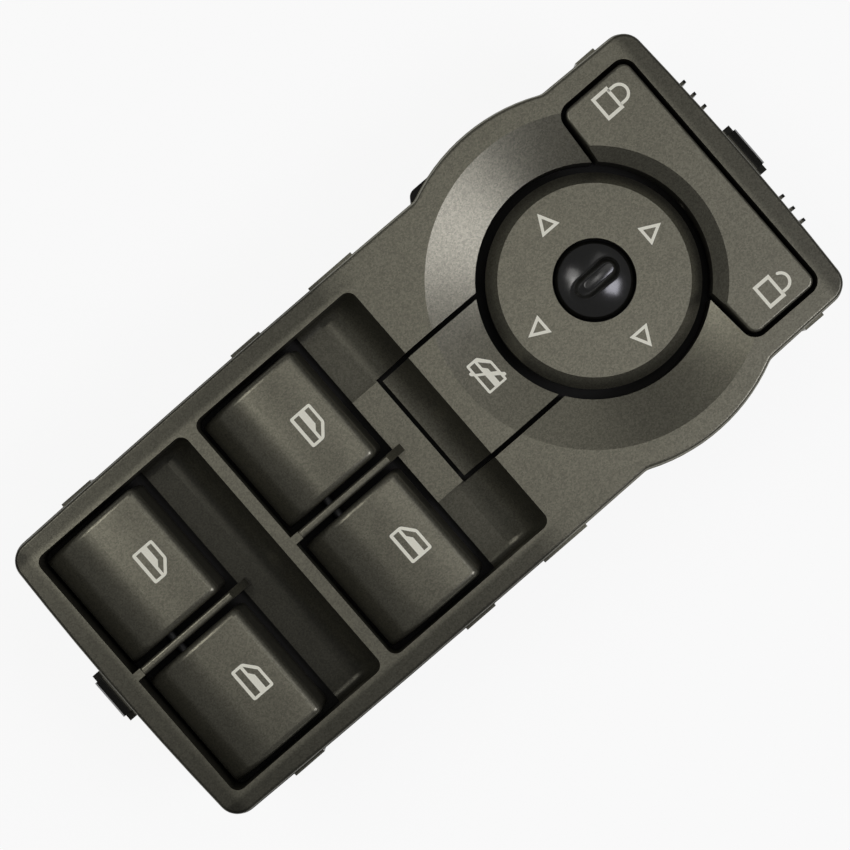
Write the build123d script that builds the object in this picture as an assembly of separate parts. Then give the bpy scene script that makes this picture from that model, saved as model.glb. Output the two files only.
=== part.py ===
from build123d import *
import math
import os

# Master power window switch. Millimetres, +X towards the lock rocker, +Y towards the left-hand
# windows, +Z out of the painted face. The origin is under the middle, on the rear cover's face.

# Levels
face_z = 38.0
seat_z = 27.0
deck_thickness = 2.0
cover_thickness = 3.0
board_z = 14.0
board_thickness = 1.6

# Bezel plate. Its length and width follow from the pockets and the dial.
end_bow = 0.9
side_bow = 0.7
plate_taper = 0.5
corner_radius = 4.5
inner_corner = 1.0
face_thickness = 2.2
skirt_wall = 2.0
edge_round = 0.7
band_step = 0.35
band_drop = 3.0
bulge_rim = 5.1
bulge_stand_out = 3.2
bulge_offset = 0.7
bulge_blend = 3.0
dish_end_gap = 5.1

# Pockets and finger wells
paddle_pitch = 40.7
pocket_end_wall = 5.0
pocket_side_wall = 5.0
pocket_bridge = 2.6
pocket_dish_gap = 4.1
front_pocket_trim = 0.2
pocket_corner = 2.0
pocket_wall = 1.8
well_length = 14.5
well_z = 28.8
rear_scoop_radius = 7.0
front_scoop_radius = 9.2
rib_width = 1.7
rib_drop = 0.6
rib_round = 0.6
rib_tab_length = 1.8
rib_nose_length = 3.5
rib_arch_gap = 0.6

# Window paddles
paddle_gap = 1.4
paddle_tail_gap = 0.9
paddle_inner_y = 2.2
paddle_well_gap = 3.2
paddle_flare = 1.8
paddle_proud = 0.8
paddle_lip_radius = 1.8
paddle_edge_radius = 1.3
paddle_tail_radius = 15.4
paddle_crown_slope = 5.0
paddle_crown_offset = 2.0
paddle_wall = 1.8
paddle_bottom_z = 29.0
paddle_front_z = 29.9
cavity_back_height = 2.6
cavity_slope_length = 2.5
cavity_slope_rise = 0.9
pivot_offset = 9.9
pivot_z = 31.5
axle_radius = 1.2
axle_end_gap = 0.3
running_clearance = 0.05
lever_y = 15.0
lever_thickness = 3.0
lever_width = 2.4
lever_hub_radius = 2.6
lever_length = 12.5
lever_ball_radius = 1.5
lever_hole_sway = 2.0
lever_hole_half_width = 2.6
tower_thickness = 2.4
tower_half_width = 2.8
tower_wall = 1.4
tower_side_gap = 2.0

# Contact sliders
slider_length = 7.0
slider_width = 8.0
slider_height = 5.0
slider_slot_gap = 0.4
slider_slot_floor = 1.2
slider_side_gap = 0.15
slider_guide_wall = 1.5
slider_guide_length = 10.0
slider_guide_lift = 0.6

# Dial dish, mirror pad and selector
pad_radius = 21.3
pad_rim_width = 2.3
ring_gap = 2.0
dish_slope_width = 9.9
dish_depth = 3.2
dish_wall = 1.9
pad_sink = 0.6
pad_rim_drop = 2.2
pad_skirt = 2.2
pad_wall = 2.0
pad_hole_gap = 0.45
gimbal_z = 31.0
gimbal_tower_gap = 0.8
gimbal_ring_width = 2.6
gimbal_height = 3.0
gimbal_pin_radius = 1.0
gimbal_pin_reach = 3.0
gimbal_pin_inset = 0.2
pad_ear_thickness = 2.5
pad_ear_half_width = 2.4
pad_ear_gap = 0.4
pad_ear_wall = 1.2
leg_radius = 1.2
leg_hole_gap = 1.5
mirror_leg_offset = 15.0
selector_shaft_radius = 2.5
selector_tower_radius = 5.2
selector_tower_top = 32.8
selector_tower_foot = 18.0
selector_hub_inset = 0.6
selector_radius = 7.8
selector_dome_z = 35.5
selector_dome_rise = 3.7
selector_skirt_z = 33.8
selector_bar_length = 10.7
selector_bar_width = 5.5
selector_bar_land_length = 5.7
selector_bar_land_width = 2.0
selector_bar_taper = 1.2
selector_bar_sink = 1.0
selector_top_z = 41.0
wiper_radius = 5.0
wiper_thickness = 1.2
wiper_lift = 0.3

# Lockout button
lockout_scoop_length = 6.9
lockout_half_width = 12.35
lockout_side_gap = 1.05
lockout_front_gap = 0.9
lockout_wall = 1.8
lockout_front_wall = 0.65
lockout_top_wall = 1.4
lockout_bottom_z = 29.0
lockout_travel = 1.5
ledge_z = 30.4
ledge_half_width = 13.0
stem_offset = 4.3
stem_radius = 2.0
stem_sleeve_wall = 1.0
stem_sleeve_drop = 4.0
spring_wire = 0.6
spring_radius = 3.0
spring_turns = 5.5

# Lock rocker
rocker_inset = 5.8
rocker_side_inset = 6.4
rocker_clasp = 7.4
rocker_slant = 0.5
rocker_gap = 0.95
rocker_corner = 2.0
rocker_rim_width = 2.9
rocker_rim_drop = 2.2
rocker_proud = 0.3
rocker_wall = 1.6
rocker_bottom_z = 29.6
rocker_edge_round = 0.6
rocker_rib_inset = 4.6
rocker_rib_thickness = 1.8
rocker_rib_half_width = 3.6
rocker_rib_wall = 1.2
rocker_tower_gap = 0.35
rocker_tower_thickness = 1.4
rocker_leg_y = 16.0
opening_wall = 1.6

# Snap tabs, end clips and end fins of the bezel
tab_out = 0.6
tab_thickness = 1.4
tab_bevel_share = 0.6
tab_top_z = 34.0
tab_bottom_z = 18.5
tab_window_height = 3.0
tab_window_margin = 1.4
tab_window_z = 20.5
rear_tab = (10.6, 18.0)
front_tab = (14.2, 21.5)
middle_tab = (-6.1, 4.9)
rocker_tab = (-12.9, -8.3)
nub_gap = 0.15
nub_inset = 0.3
nub_rise = 0.6
clip_half_width = 5.75
clip_reach = 2.65
clip_top_back = 1.9
clip_nose_back = 0.5
clip_nose_drop = 1.0
clip_tip_drops = (2.2, 3.4)
clip_foot_back = 2.2
clip_cheek = 1.4
clip_cheek_drop = 0.8
clip_cheek_lift = 1.0
fin_ys = (11.7, 14.8, 17.9)
fin_width = 0.7
fin_reach = 0.9
fin_top_z = 35.5

# Housing, cover, board and fasteners
housing_inset = 2.6
housing_wall = 2.0
flange_back = 16.5
flange_front = 10.9
flange_inset = 0.9
flange_depth = 9.0
flange_corner = 2.0
cover_lip = 1.2
cover_lip_height = 2.5
cover_lip_gap = 0.15
board_gap = 1.4
boss_inset = 7.6
middle_boss_offset = 3.3
boss_radius = 3.0
boss_board_gap = 0.5
screw_radius = 1.3
screw_head_radius = 2.7
screw_head_height = 1.5
screw_cross_share = 0.6
screw_cross_half = 0.35
screw_cross_depth = 0.8
screw_recess_depth = 1.8
screw_length = 12.0
screw_fit = 0.02
screw_recess_gap = 0.2
post_radius = 2.2
post_side_inset = 11.1
socket_post_offset = 6.0
dial_post_offset = 18.6
rocker_post_offset = 15.4
rocker_post_y = 10.0

# Electrical parts
socket_shift = 3.65
socket_length = 26.0
socket_width = 12.0
socket_wall = 1.3
socket_floor = 1.6
socket_window_gap = 0.3
socket_key_half = 2.0
socket_key_height = 7.0
socket_key_inset = 0.6
pin_side = 0.64
pin_pitch = 2.54
pins_per_row = 8
pin_row_offset = 2.2
pin_tip_z = 5.6
pin_tail = 1.0
switch_side = 6.2
switch_body_height = 3.5
switch_plunger_radius = 1.7
switch_plunger_height = 0.8
switch_leg_gap = 0.35
lamp_length = 3.0
lamp_width = 2.0
lamp_height = 1.0
guide_length = 3.6
guide_width = 2.8
guide_top_z = 34.0
dial_guide_drop = 2.6
guide_flange = 0.9
guide_flange_height = 1.0
guide_gap = 0.2
paddle_icon_offset = 17.4
icon_y = 14.95
lockout_icon_offset = 9.6
lock_icon_inset = 7.7
lock_icon_y = 24.2

# Angles, in degrees
mirror_tilt = 4.0
rocker_tilt = 3.5
wiper_angles = (90, 210, 330)

# Working values: how far a cut runs past a face, how far one solid runs into the next that carries
# it, and how near an edge lies to the plane it is picked by
overrun = 1.0
weld = 0.5
pick = 0.01

# Values worked out from the sizes above: the dial and the plate round it
dial_hole_radius = pad_radius + ring_gap
dish_radius = dial_hole_radius + dish_slope_width
bulge_radius = dish_radius + bulge_rim
plate_width = 2 * (bulge_radius - bulge_stand_out)
front_pocket_length = paddle_pitch - front_pocket_trim
dial_span = dish_radius * 2 + dish_end_gap
plate_length = pocket_end_wall + paddle_pitch + front_pocket_length + pocket_dish_gap + dial_span
plate_end = plate_length / 2
plate_side = plate_width / 2
dial_x = plate_end - dish_end_gap - dish_radius
bulge_x = dial_x - bulge_offset
pad_flat_radius = pad_radius - pad_rim_width
pad_hole_radius = selector_radius + pad_hole_gap
pad_top_z = face_z - pad_sink
pad_rim_z = pad_top_z - pad_rim_drop
dish_z = face_z - dish_depth
gimbal_inner_radius = selector_tower_radius + gimbal_tower_gap
gimbal_outer_radius = gimbal_inner_radius + gimbal_ring_width

# Pockets and paddles
pocket_start = pocket_end_wall - plate_end
pocket_half_width = plate_side - pocket_side_wall
pocket_starts = (pocket_start, pocket_start + paddle_pitch)
rear_pocket_end = pocket_starts[0] + paddle_pitch - pocket_bridge
front_pocket_end = pocket_starts[1] + front_pocket_length
well_offset = paddle_pitch - well_length
front_well_x = pocket_starts[1] + well_offset
paddle_reach = well_offset - paddle_well_gap
paddle_crown_start = pivot_offset + paddle_crown_offset
paddle_outer_y = pocket_half_width - paddle_gap
pivot_xs = tuple(x + pivot_offset for x in pocket_starts)
bore_radius = axle_radius + running_clearance

# Lockout button and rocker
lockout_brow_x = front_pocket_end
lockout_front_x = lockout_brow_x - lockout_scoop_length
lockout_ceiling = dish_z - lockout_top_wall
lockout_opening_y = lockout_half_width + lockout_side_gap
lockout_opening_x = lockout_front_x - lockout_front_gap
stem_x = lockout_brow_x + stem_offset
rocker_right_x = plate_end - rocker_inset
rocker_waist_x = dial_x + dial_hole_radius - rocker_clasp
rocker_left_x = rocker_waist_x + rocker_slant
rocker_half_length = plate_side - rocker_side_inset
rocker_rim_radius = dial_hole_radius + rocker_rim_width
rocker_rib_x = rocker_right_x - rocker_rib_inset

# Tabs, clips, housing and board
clip_reach_x = plate_end + clip_reach
tab_bases = (pocket_starts[0], pocket_starts[1], front_pocket_end, plate_end)
tab_offsets = (rear_tab, front_tab, middle_tab, rocker_tab)
tab_spans = tuple((x + a, x + b) for x, (a, b) in zip(tab_bases, tab_offsets))
deck_z = seat_z - deck_thickness
board_top = board_z + board_thickness
flange_span = (dial_x - flange_back, dial_x + flange_front)
flange_y = bulge_radius - flange_inset
boss_y = plate_side - boss_inset
boss_xs = (boss_inset - plate_end, front_pocket_end - middle_boss_offset, plate_end - boss_inset)
all_bosses = tuple((x, s * boss_y) for s in (1, -1) for x in boss_xs)
socket_x = sum(pivot_xs) / 2 + socket_shift
post_y = plate_side - post_side_inset
post_places = (
    (socket_x - socket_post_offset, post_y),
    (dial_x - dial_post_offset, post_y),
    (dial_x + rocker_post_offset, rocker_post_y),
)
post_points = tuple((x, s * y) for x, y in post_places for s in (1, -1))

# Switch legs, stem and pictograms
switch_top = board_top + switch_body_height + switch_plunger_height
mirror_leg_tip = switch_top + mirror_leg_offset * math.tan(math.radians(mirror_tilt)) + switch_leg_gap
rocker_leg_tip = switch_top + rocker_leg_y * math.tan(math.radians(rocker_tilt)) + switch_leg_gap
stem_tip = switch_top + lockout_travel + switch_leg_gap
mirror_leg_points = (
    (dial_x - mirror_leg_offset, 0),
    (dial_x + mirror_leg_offset, 0),
    (dial_x, -mirror_leg_offset),
    (dial_x, mirror_leg_offset),
)
rocker_leg_points = ((rocker_rib_x, -rocker_leg_y), (rocker_rib_x, rocker_leg_y))
lock_icon_x = rocker_right_x - lock_icon_inset
icon_points = tuple((x + paddle_icon_offset, s * icon_y) for x in pocket_starts for s in (1, -1)) + (
    (lockout_brow_x + lockout_icon_offset, 0),
    (lock_icon_x, lock_icon_y),
    (lock_icon_x, -lock_icon_y),
)


def block(x0, x1, y0, y1, z0, z1):
    """A box between six planes."""
    return Pos((x0 + x1) / 2, (y0 + y1) / 2, (z0 + z1) / 2) * Box(x1 - x0, y1 - y0, z1 - z0)


def rod(x, y, z0, z1, radius):
    """An upright round bar."""
    return Pos(x, y, (z0 + z1) / 2) * Cylinder(radius, z1 - z0)


def bar_y(x, z, y0, y1, radius):
    """A round bar along Y."""
    return Pos(x, (y0 + y1) / 2, z) * Rot(90, 0, 0) * Cylinder(radius, y1 - y0)


def bar_x(y, z, x0, x1, radius):
    """A round bar along X."""
    return Pos((x0 + x1) / 2, y, z) * Rot(0, 90, 0) * Cylinder(radius, x1 - x0)


def prism(sketch, z0, z1):
    """A plan sketch raised between two levels."""
    return Pos(0, 0, z0) * extrude(sketch, z1 - z0)


def side_prism(lines, y0, y1):
    """A side view, drawn in X and Z, thickened between two Y planes."""
    solid = extrude(Plane.XZ * make_face(lines), (y1 - y0) / 2, both=True)
    return Pos(0, (y0 + y1) / 2, 0) * solid


def dial_revolve(points):
    """A section, drawn in radius and Z, turned about the dial's axis."""
    section = Plane.XZ * make_face(Polyline(*points, close=True))
    return Pos(dial_x, 0, 0) * revolve(section, Axis.Z)


def side_y(x):
    """Half the plate's width at x, along its bowed and tapered side."""
    share = x / (plate_end - end_bow)
    return plate_side - plate_taper / 2 * share - (side_bow + plate_taper / 2) * share**2


def plate_outline(grow=0.0):
    """Plan of the plate: four bowed sides, narrower at the rocker end, round corners and the bulge."""
    x_mid = plate_end + grow
    y_mid = plate_side + grow
    x_cor = x_mid - end_bow
    y_near = y_mid - side_bow
    y_far = y_near - plate_taper
    sides = [
        ThreePointArc((-x_cor, -y_near), (-x_mid, 0), (-x_cor, y_near)),
        ThreePointArc((-x_cor, y_near), (0, y_mid), (x_cor, y_far)),
        ThreePointArc((x_cor, y_far), (x_mid, 0), (x_cor, -y_far)),
        ThreePointArc((x_cor, -y_far), (0, -y_mid), (-x_cor, -y_near)),
    ]
    plate = make_face(sides)
    plate = fillet(plate.vertices(), max(corner_radius + grow, inner_corner))
    radius = bulge_radius + grow
    chord = math.sqrt(radius**2 - y_far**2)
    plan = plate + Pos(bulge_x, 0) * (Circle(radius) & Rectangle(2 * chord, 2 * radius))
    joins = [v for v in plan.vertices() if abs(v.X - bulge_x) < chord and abs(v.Y) > y_far]
    return fillet(joins, bulge_blend - grow)


def bezel_shell():
    """The hollow plate with its rounded top edge and the wider band round its foot."""
    shell = prism(plate_outline(-band_step), seat_z, face_z)
    shell = fillet(shell.faces().sort_by(Axis.Z)[-1].edges(), edge_round)
    shell += prism(plate_outline(), seat_z, face_z - band_drop)
    return shell - prism(plate_outline(-skirt_wall), seat_z, face_z - face_thickness)


def pocket_block():
    """Walls and floors that both pockets are cut from, thin under the front scoop."""
    scoop_x = front_pocket_end - front_scoop_radius
    outer = front_scoop_radius + pocket_wall
    centre_z = well_z + front_scoop_radius
    rim_z = face_z - edge_round
    rim_turn = math.acos((centre_z - rim_z) / outer)
    rim = (scoop_x + outer * math.sin(rim_turn), rim_z)
    middle = (scoop_x + outer * math.sin(rim_turn / 2), centre_z - outer * math.cos(rim_turn / 2))
    lines = [
        Polyline(
            (scoop_x, well_z - pocket_wall),
            (pocket_start - pocket_wall, well_z - pocket_wall),
            (pocket_start - pocket_wall, rim_z),
            rim,
        ),
        ThreePointArc(rim, middle, (scoop_x, centre_z - outer)),
    ]
    reach = pocket_half_width + pocket_wall
    return side_prism(lines, -reach, reach)


def pocket_cut(start, end, scoop_radius):
    """One pocket: an open shaft for the paddles, then a floor that curves up to the face."""
    well_x = start + well_offset
    scoop_x = end - scoop_radius
    centre_z = well_z + scoop_radius
    half = scoop_radius * math.sqrt(0.5)
    top_z = face_z + overrun
    foot_z = seat_z - overrun
    lines = [
        Polyline((end, centre_z), (end, top_z), (start, top_z), (start, foot_z)),
        Polyline((start, foot_z), (well_x, foot_z), (well_x, well_z), (scoop_x, well_z)),
        ThreePointArc((scoop_x, well_z), (scoop_x + half, centre_z - half), (end, centre_z)),
    ]
    solid = side_prism(lines, -pocket_half_width, pocket_half_width)
    sides = [e for e in solid.edges() if abs(abs(e.center().Y) - pocket_half_width) < pick]
    walls = [e for e in sides if e.center().X > scoop_x and e.center().Z < top_z - pick]
    floor = [e for e in sides if abs(e.center().Z - well_z) < pick]
    rear = [e for e in sides if abs(e.center().X - start) < pick]
    return fillet(walls + floor + rear, pocket_corner)


def scoop_relief():
    """The hollow under the rear scoop, which keeps its wall even."""
    scoop_x = rear_pocket_end - rear_scoop_radius
    outer = rear_scoop_radius + pocket_wall
    centre_z = well_z + rear_scoop_radius
    top_z = centre_z - math.sqrt(outer**2 - rear_scoop_radius**2)
    turn = math.asin(rear_scoop_radius / outer) / 2
    middle = (scoop_x + outer * math.sin(turn), centre_z - outer * math.cos(turn))
    foot_z = centre_z - outer
    lines = [
        ThreePointArc((scoop_x, foot_z), middle, (rear_pocket_end, top_z)),
        Polyline((rear_pocket_end, top_z), (rear_pocket_end, foot_z), (scoop_x, foot_z)),
    ]
    return side_prism(lines, -pocket_half_width, pocket_half_width)


def divider_rib(start):
    """The thin wall between two paddles, arched over their axle."""
    end = start + well_offset + pocket_wall
    top = face_z - rib_drop
    lip = end - rib_nose_length
    lines = Polyline(
        (start - pocket_wall, seat_z),
        (start - pocket_wall, face_z - edge_round),
        (start, face_z),
        (start + rib_tab_length, face_z),
        (start + rib_tab_length, top),
        (lip, top),
        (end, well_z + pocket_wall),
        (end, seat_z),
        close=True,
    )
    rib = side_prism(lines, -rib_width / 2, rib_width / 2)
    ridge = [e for e in rib.edges().filter_by(Axis.X) if abs(e.center().Z - top) < pick]
    rib = fillet(ridge, rib_round)
    arch_half = axle_radius + rib_arch_gap
    x = start + pivot_offset
    arch_z = pivot_z + arch_half
    arch = block(x - arch_half, x + arch_half, -rib_width, rib_width, seat_z - overrun, arch_z)
    return rib - arch


def dish_block():
    """The cone of the dial dish and the tube round its hole, before the cut."""
    return dial_revolve(
        [
            (dial_hole_radius, seat_z),
            (dial_hole_radius + opening_wall, seat_z),
            (dial_hole_radius + opening_wall, dish_z - dish_wall),
            (dish_radius + opening_wall, face_z - dish_wall),
            (dish_radius + opening_wall, face_z - edge_round),
            (dial_hole_radius, face_z - edge_round),
        ]
    )


def dish_cut():
    """The dish itself: a cone down to the hole, and the hole."""
    return dial_revolve(
        [
            (0, seat_z - overrun),
            (dial_hole_radius, seat_z - overrun),
            (dial_hole_radius, dish_z),
            (dish_radius, face_z),
            (dish_radius, face_z + overrun),
            (0, face_z + overrun),
        ]
    )


def rocker_plan(grow=0.0):
    """Plan of the lock rocker: a bar with slanted inner edges that clasps the dial."""
    right = rocker_right_x + grow
    left = rocker_left_x - grow
    waist = rocker_waist_x - grow
    top = rocker_half_length + grow
    corner = math.sqrt(dial_hole_radius**2 - (waist - dial_x) ** 2)
    plan = make_face(
        Polyline(
            (right, -top),
            (right, top),
            (left, top),
            (waist, corner),
            (waist, -corner),
            (left, -top),
            close=True,
        )
    )
    outer = [v for v in plan.vertices() if abs(abs(v.Y) - top) < pick]
    return fillet(outer, rocker_corner + grow)


def snap_tab(x0, x1, side):
    """A tab hanging from the skirt, with the window that catches the housing's nub."""
    y1 = side_y((x0 + x1) / 2) + tab_out
    y0 = y1 - tab_thickness
    tab = block(x0, x1, y0, y1, tab_bottom_z, tab_top_z)
    tab = chamfer(tab.faces().sort_by(Axis.Y)[-1].edges().filter_by(Axis.X), tab_out * tab_bevel_share)
    window = block(
        x0 + tab_window_margin,
        x1 - tab_window_margin,
        y0 - overrun,
        y1 + overrun,
        tab_window_z,
        tab_window_z + tab_window_height,
    )
    tab -= window
    return tab if side > 0 else mirror(tab, Plane.XZ)


def end_clip(side):
    """The wedge that snaps under the console's edge, with a cheek at each end."""
    root = plate_end - skirt_wall / 2
    tip = clip_reach_x
    top_z = face_z - band_drop
    lines = Polyline(
        (root, seat_z),
        (root, top_z),
        (tip - clip_top_back, top_z),
        (tip - clip_nose_back, top_z - clip_nose_drop),
        (tip, top_z - clip_tip_drops[0]),
        (tip, top_z - clip_tip_drops[1]),
        (tip - clip_foot_back, seat_z),
        close=True,
    )
    wedge = side_prism(lines, -clip_half_width + clip_cheek, clip_half_width - clip_cheek)
    for s in (-1, 1):
        y0, y1 = sorted((s * (clip_half_width - clip_cheek), s * clip_half_width))
        foot_z = seat_z + clip_cheek_lift
        wedge += block(root, tip - clip_cheek_drop, y0, y1, foot_z, top_z - clip_cheek_drop)
    return wedge if side > 0 else mirror(wedge, Plane.YZ)


def end_fins():
    """Six thin fins that steady the rocker end in the console."""
    root = plate_end - skirt_wall
    tip = plate_end + fin_reach
    half = fin_width / 2
    fins = []
    for y in fin_ys:
        for s in (-1, 1):
            fins.append(block(root, tip, s * y - half, s * y + half, seat_z, fin_top_z))
    return fins


def bezel():
    """The painted moulding: plate, pockets with finger scoops, dish, ribs, tabs, clips and fins."""
    body = bezel_shell() + pocket_block() + dish_block()
    frame_left = lockout_opening_x - opening_wall
    frame_y = lockout_opening_y + opening_wall
    body += block(frame_left, dial_x - dial_hole_radius, -frame_y, frame_y, seat_z, face_z - edge_round)
    body += prism(rocker_plan(rocker_gap + opening_wall), seat_z, face_z - edge_round)
    body -= pocket_cut(pocket_starts[0], rear_pocket_end, rear_scoop_radius)
    body -= pocket_cut(pocket_starts[1], front_pocket_end, front_scoop_radius)
    body += block(front_well_x, lockout_opening_x, -ledge_half_width, ledge_half_width, seat_z, ledge_z)
    body -= scoop_relief()
    body -= dish_cut()
    body -= block(
        lockout_opening_x,
        dial_x,
        -lockout_opening_y,
        lockout_opening_y,
        seat_z - overrun,
        face_z + overrun,
    )
    body -= prism(rocker_plan(rocker_gap), seat_z - overrun, face_z + overrun)
    for start in pocket_starts:
        body += divider_rib(start)
    for x0, x1 in tab_spans:
        for side in (-1, 1):
            body += snap_tab(x0, x1, side)
    body += end_clip(1)
    body += end_clip(-1)
    for fin in end_fins():
        body += fin
    return body


def paddle_outline():
    """Side view of a paddle: dropping tail, crowned top, round lip and flared front."""
    lip_z = face_z + paddle_proud
    slope = math.radians(paddle_crown_slope)
    centre_x = paddle_crown_start + paddle_tail_radius * math.sin(slope)
    centre_z = lip_z - paddle_tail_radius * math.cos(slope)
    end_turn = math.asin((centre_x - paddle_tail_gap) / paddle_tail_radius)
    mid_turn = (end_turn + slope) / 2

    def on_tail(turn):
        return (
            centre_x - paddle_tail_radius * math.sin(turn),
            centre_z + paddle_tail_radius * math.cos(turn),
        )

    nose_x = paddle_reach + paddle_lip_radius / 2
    nose_z = lip_z - paddle_lip_radius
    flare_x = paddle_reach + paddle_flare
    lip_x = nose_x - paddle_lip_radius
    half = paddle_lip_radius * math.sqrt(0.5)
    nose_mid = (lip_x + half, nose_z + half)
    lines = [
        ThreePointArc(on_tail(end_turn), on_tail(mid_turn), on_tail(slope)),
        TangentArc(on_tail(slope), (lip_x, lip_z), tangent=(math.cos(slope), math.sin(slope))),
        ThreePointArc((lip_x, lip_z), nose_mid, (nose_x, nose_z)),
        TangentArc((nose_x, nose_z), (flare_x, paddle_front_z), tangent=(0, -1)),
        Polyline(
            (flare_x, paddle_front_z),
            (pivot_offset + lever_hub_radius, paddle_bottom_z),
            (paddle_tail_gap, paddle_bottom_z),
            on_tail(end_turn),
        ),
    ]
    return lines


def paddle_cavity(y0, y1):
    """The hollow under a paddle's cap."""
    top = face_z + paddle_proud - paddle_wall
    back = paddle_tail_gap + paddle_wall
    front = paddle_reach - paddle_wall / 2
    foot_z = paddle_bottom_z - overrun
    lines = Polyline(
        (back, foot_z),
        (back, paddle_bottom_z + cavity_back_height),
        (paddle_crown_start - cavity_slope_length, top - cavity_slope_rise),
        (paddle_crown_start, top),
        (front, top),
        (front, foot_z),
        close=True,
    )
    return side_prism(lines, y0 + paddle_wall, y1 - paddle_wall)


def window_paddle(start, side):
    """One paddle with its cap, axle bores and the lever that drives the contact slider."""
    y0, y1 = paddle_inner_y, paddle_outer_y
    cap = side_prism(paddle_outline(), y0, y1)
    curves = [e for e in cap.edges() if e.geom_type == GeomType.CIRCLE]
    cap = fillet(curves, paddle_edge_radius)
    cap -= paddle_cavity(y0, y1)
    half = lever_thickness / 2
    lever = block(
        pivot_offset - lever_width / 2,
        pivot_offset + lever_width / 2,
        lever_y - half,
        lever_y + half,
        pivot_z - lever_length,
        face_z - paddle_wall,
    )
    lever += bar_y(pivot_offset, pivot_z, lever_y - half, lever_y + half, lever_hub_radius)
    lever += bar_y(pivot_offset, pivot_z - lever_length, lever_y - half, lever_y + half, lever_ball_radius)
    paddle = cap + lever
    paddle -= bar_y(pivot_offset, pivot_z, y0 - overrun, y1 + overrun, bore_radius)
    paddle = Pos(start, 0, 0) * paddle
    return paddle if side > 0 else mirror(paddle, Plane.XZ)


def contact_slider(pivot_x, side):
    """The block that the lever's round end pushes along the board."""
    half = slider_length / 2
    y0, y1 = lever_y - slider_width / 2, lever_y + slider_width / 2
    body = block(pivot_x - half, pivot_x + half, y0, y1, board_top, board_top + slider_height)
    slot = lever_ball_radius + slider_slot_gap
    floor = board_top + slider_slot_floor
    top = board_top + slider_height + overrun
    body -= block(pivot_x - slot, pivot_x + slot, y0 - overrun, y1 + overrun, floor, top)
    return body if side > 0 else mirror(body, Plane.XZ)


def paddle_axle(pivot_x):
    """The steel pin that both paddles of a pair turn on."""
    reach = paddle_outer_y - axle_end_gap
    return bar_y(pivot_x, pivot_z, -reach, reach, axle_radius)


def lockout_button():
    """The lockout button: scooped front, flat top, and the dish running across its inner end."""
    radius = front_scoop_radius
    scoop_x = front_pocket_end - radius
    toe_turn = math.asin((lockout_front_x - scoop_x) / radius)
    centre_z = ledge_z + radius * math.cos(toe_turn)
    brow_turn = math.acos((centre_z - face_z) / radius)

    def on_scoop(turn):
        return scoop_x + radius * math.sin(turn), centre_z - radius * math.cos(turn)

    inner_x = dial_x - dial_hole_radius / 2
    lines = [
        Polyline(
            on_scoop(toe_turn),
            (lockout_front_x, lockout_bottom_z),
            (inner_x, lockout_bottom_z),
            (inner_x, face_z),
            on_scoop(brow_turn),
        ),
        ThreePointArc(on_scoop(brow_turn), on_scoop((toe_turn + brow_turn) / 2), on_scoop(toe_turn)),
    ]
    body = side_prism(lines, -lockout_half_width, lockout_half_width)
    body -= dish_cut()
    front = lockout_brow_x + lockout_front_wall
    back = dial_x - dial_hole_radius - lockout_wall
    inside = lockout_half_width - lockout_wall
    body -= block(front, back, -inside, inside, lockout_bottom_z - overrun, lockout_ceiling)
    stem = rod(stem_x, 0, stem_tip, lockout_ceiling + weld, stem_radius)
    return body + stem


def lockout_spring():
    """The coil spring that lifts the lockout button off its stop."""
    z0 = seat_z + spring_wire / 2
    height = lockout_ceiling - seat_z - spring_wire
    path = Pos(stem_x, 0, z0) * Helix(height / spring_turns, height, spring_radius)
    start = path @ 0
    section = Plane(origin=start, z_dir=path % 0) * Circle(spring_wire / 2)
    return sweep(section, path)


def lock_rocker():
    """The lock rocker: a hollow bar with a sloped rim towards the dial."""
    top = face_z + rocker_proud
    body = prism(rocker_plan(), rocker_bottom_z, top)
    body -= rod(dial_x, 0, rocker_bottom_z - overrun, top + overrun, dial_hole_radius)
    rim = body.faces().sort_by(Axis.Z)[-1].edges()
    body = fillet([e for e in rim if e.center().X > rocker_right_x - rocker_corner / 2], rocker_edge_round)
    low_z = top - rocker_rim_drop
    body -= dial_revolve(
        [
            (dial_hole_radius - overrun, low_z),
            (dial_hole_radius, low_z),
            (rocker_rim_radius, top),
            (rocker_rim_radius, top + overrun),
            (dial_hole_radius - overrun, top + overrun),
        ]
    )
    hollow = prism(rocker_plan(-rocker_wall), rocker_bottom_z - overrun, low_z - rocker_wall)
    hollow -= rod(dial_x, 0, rocker_bottom_z - 2 * overrun, top, dial_hole_radius + rocker_wall)
    body -= hollow
    half = rocker_rib_thickness / 2
    body += block(
        rocker_rib_x - half,
        rocker_rib_x + half,
        -rocker_rib_half_width,
        rocker_rib_half_width,
        pivot_z - axle_radius - rocker_rib_wall,
        low_z,
    )
    for x, y in rocker_leg_points:
        body += rod(x, y, rocker_leg_tip, low_z, leg_radius)
    return body - bar_x(0, pivot_z, rocker_left_x, rocker_right_x + overrun, bore_radius)


def rocker_axle():
    """The steel pin that the lock rocker turns on."""
    reach = rocker_rib_thickness / 2 + rocker_tower_gap + rocker_tower_thickness
    return bar_x(0, pivot_z, rocker_rib_x - reach, rocker_rib_x + reach, axle_radius)


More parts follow.
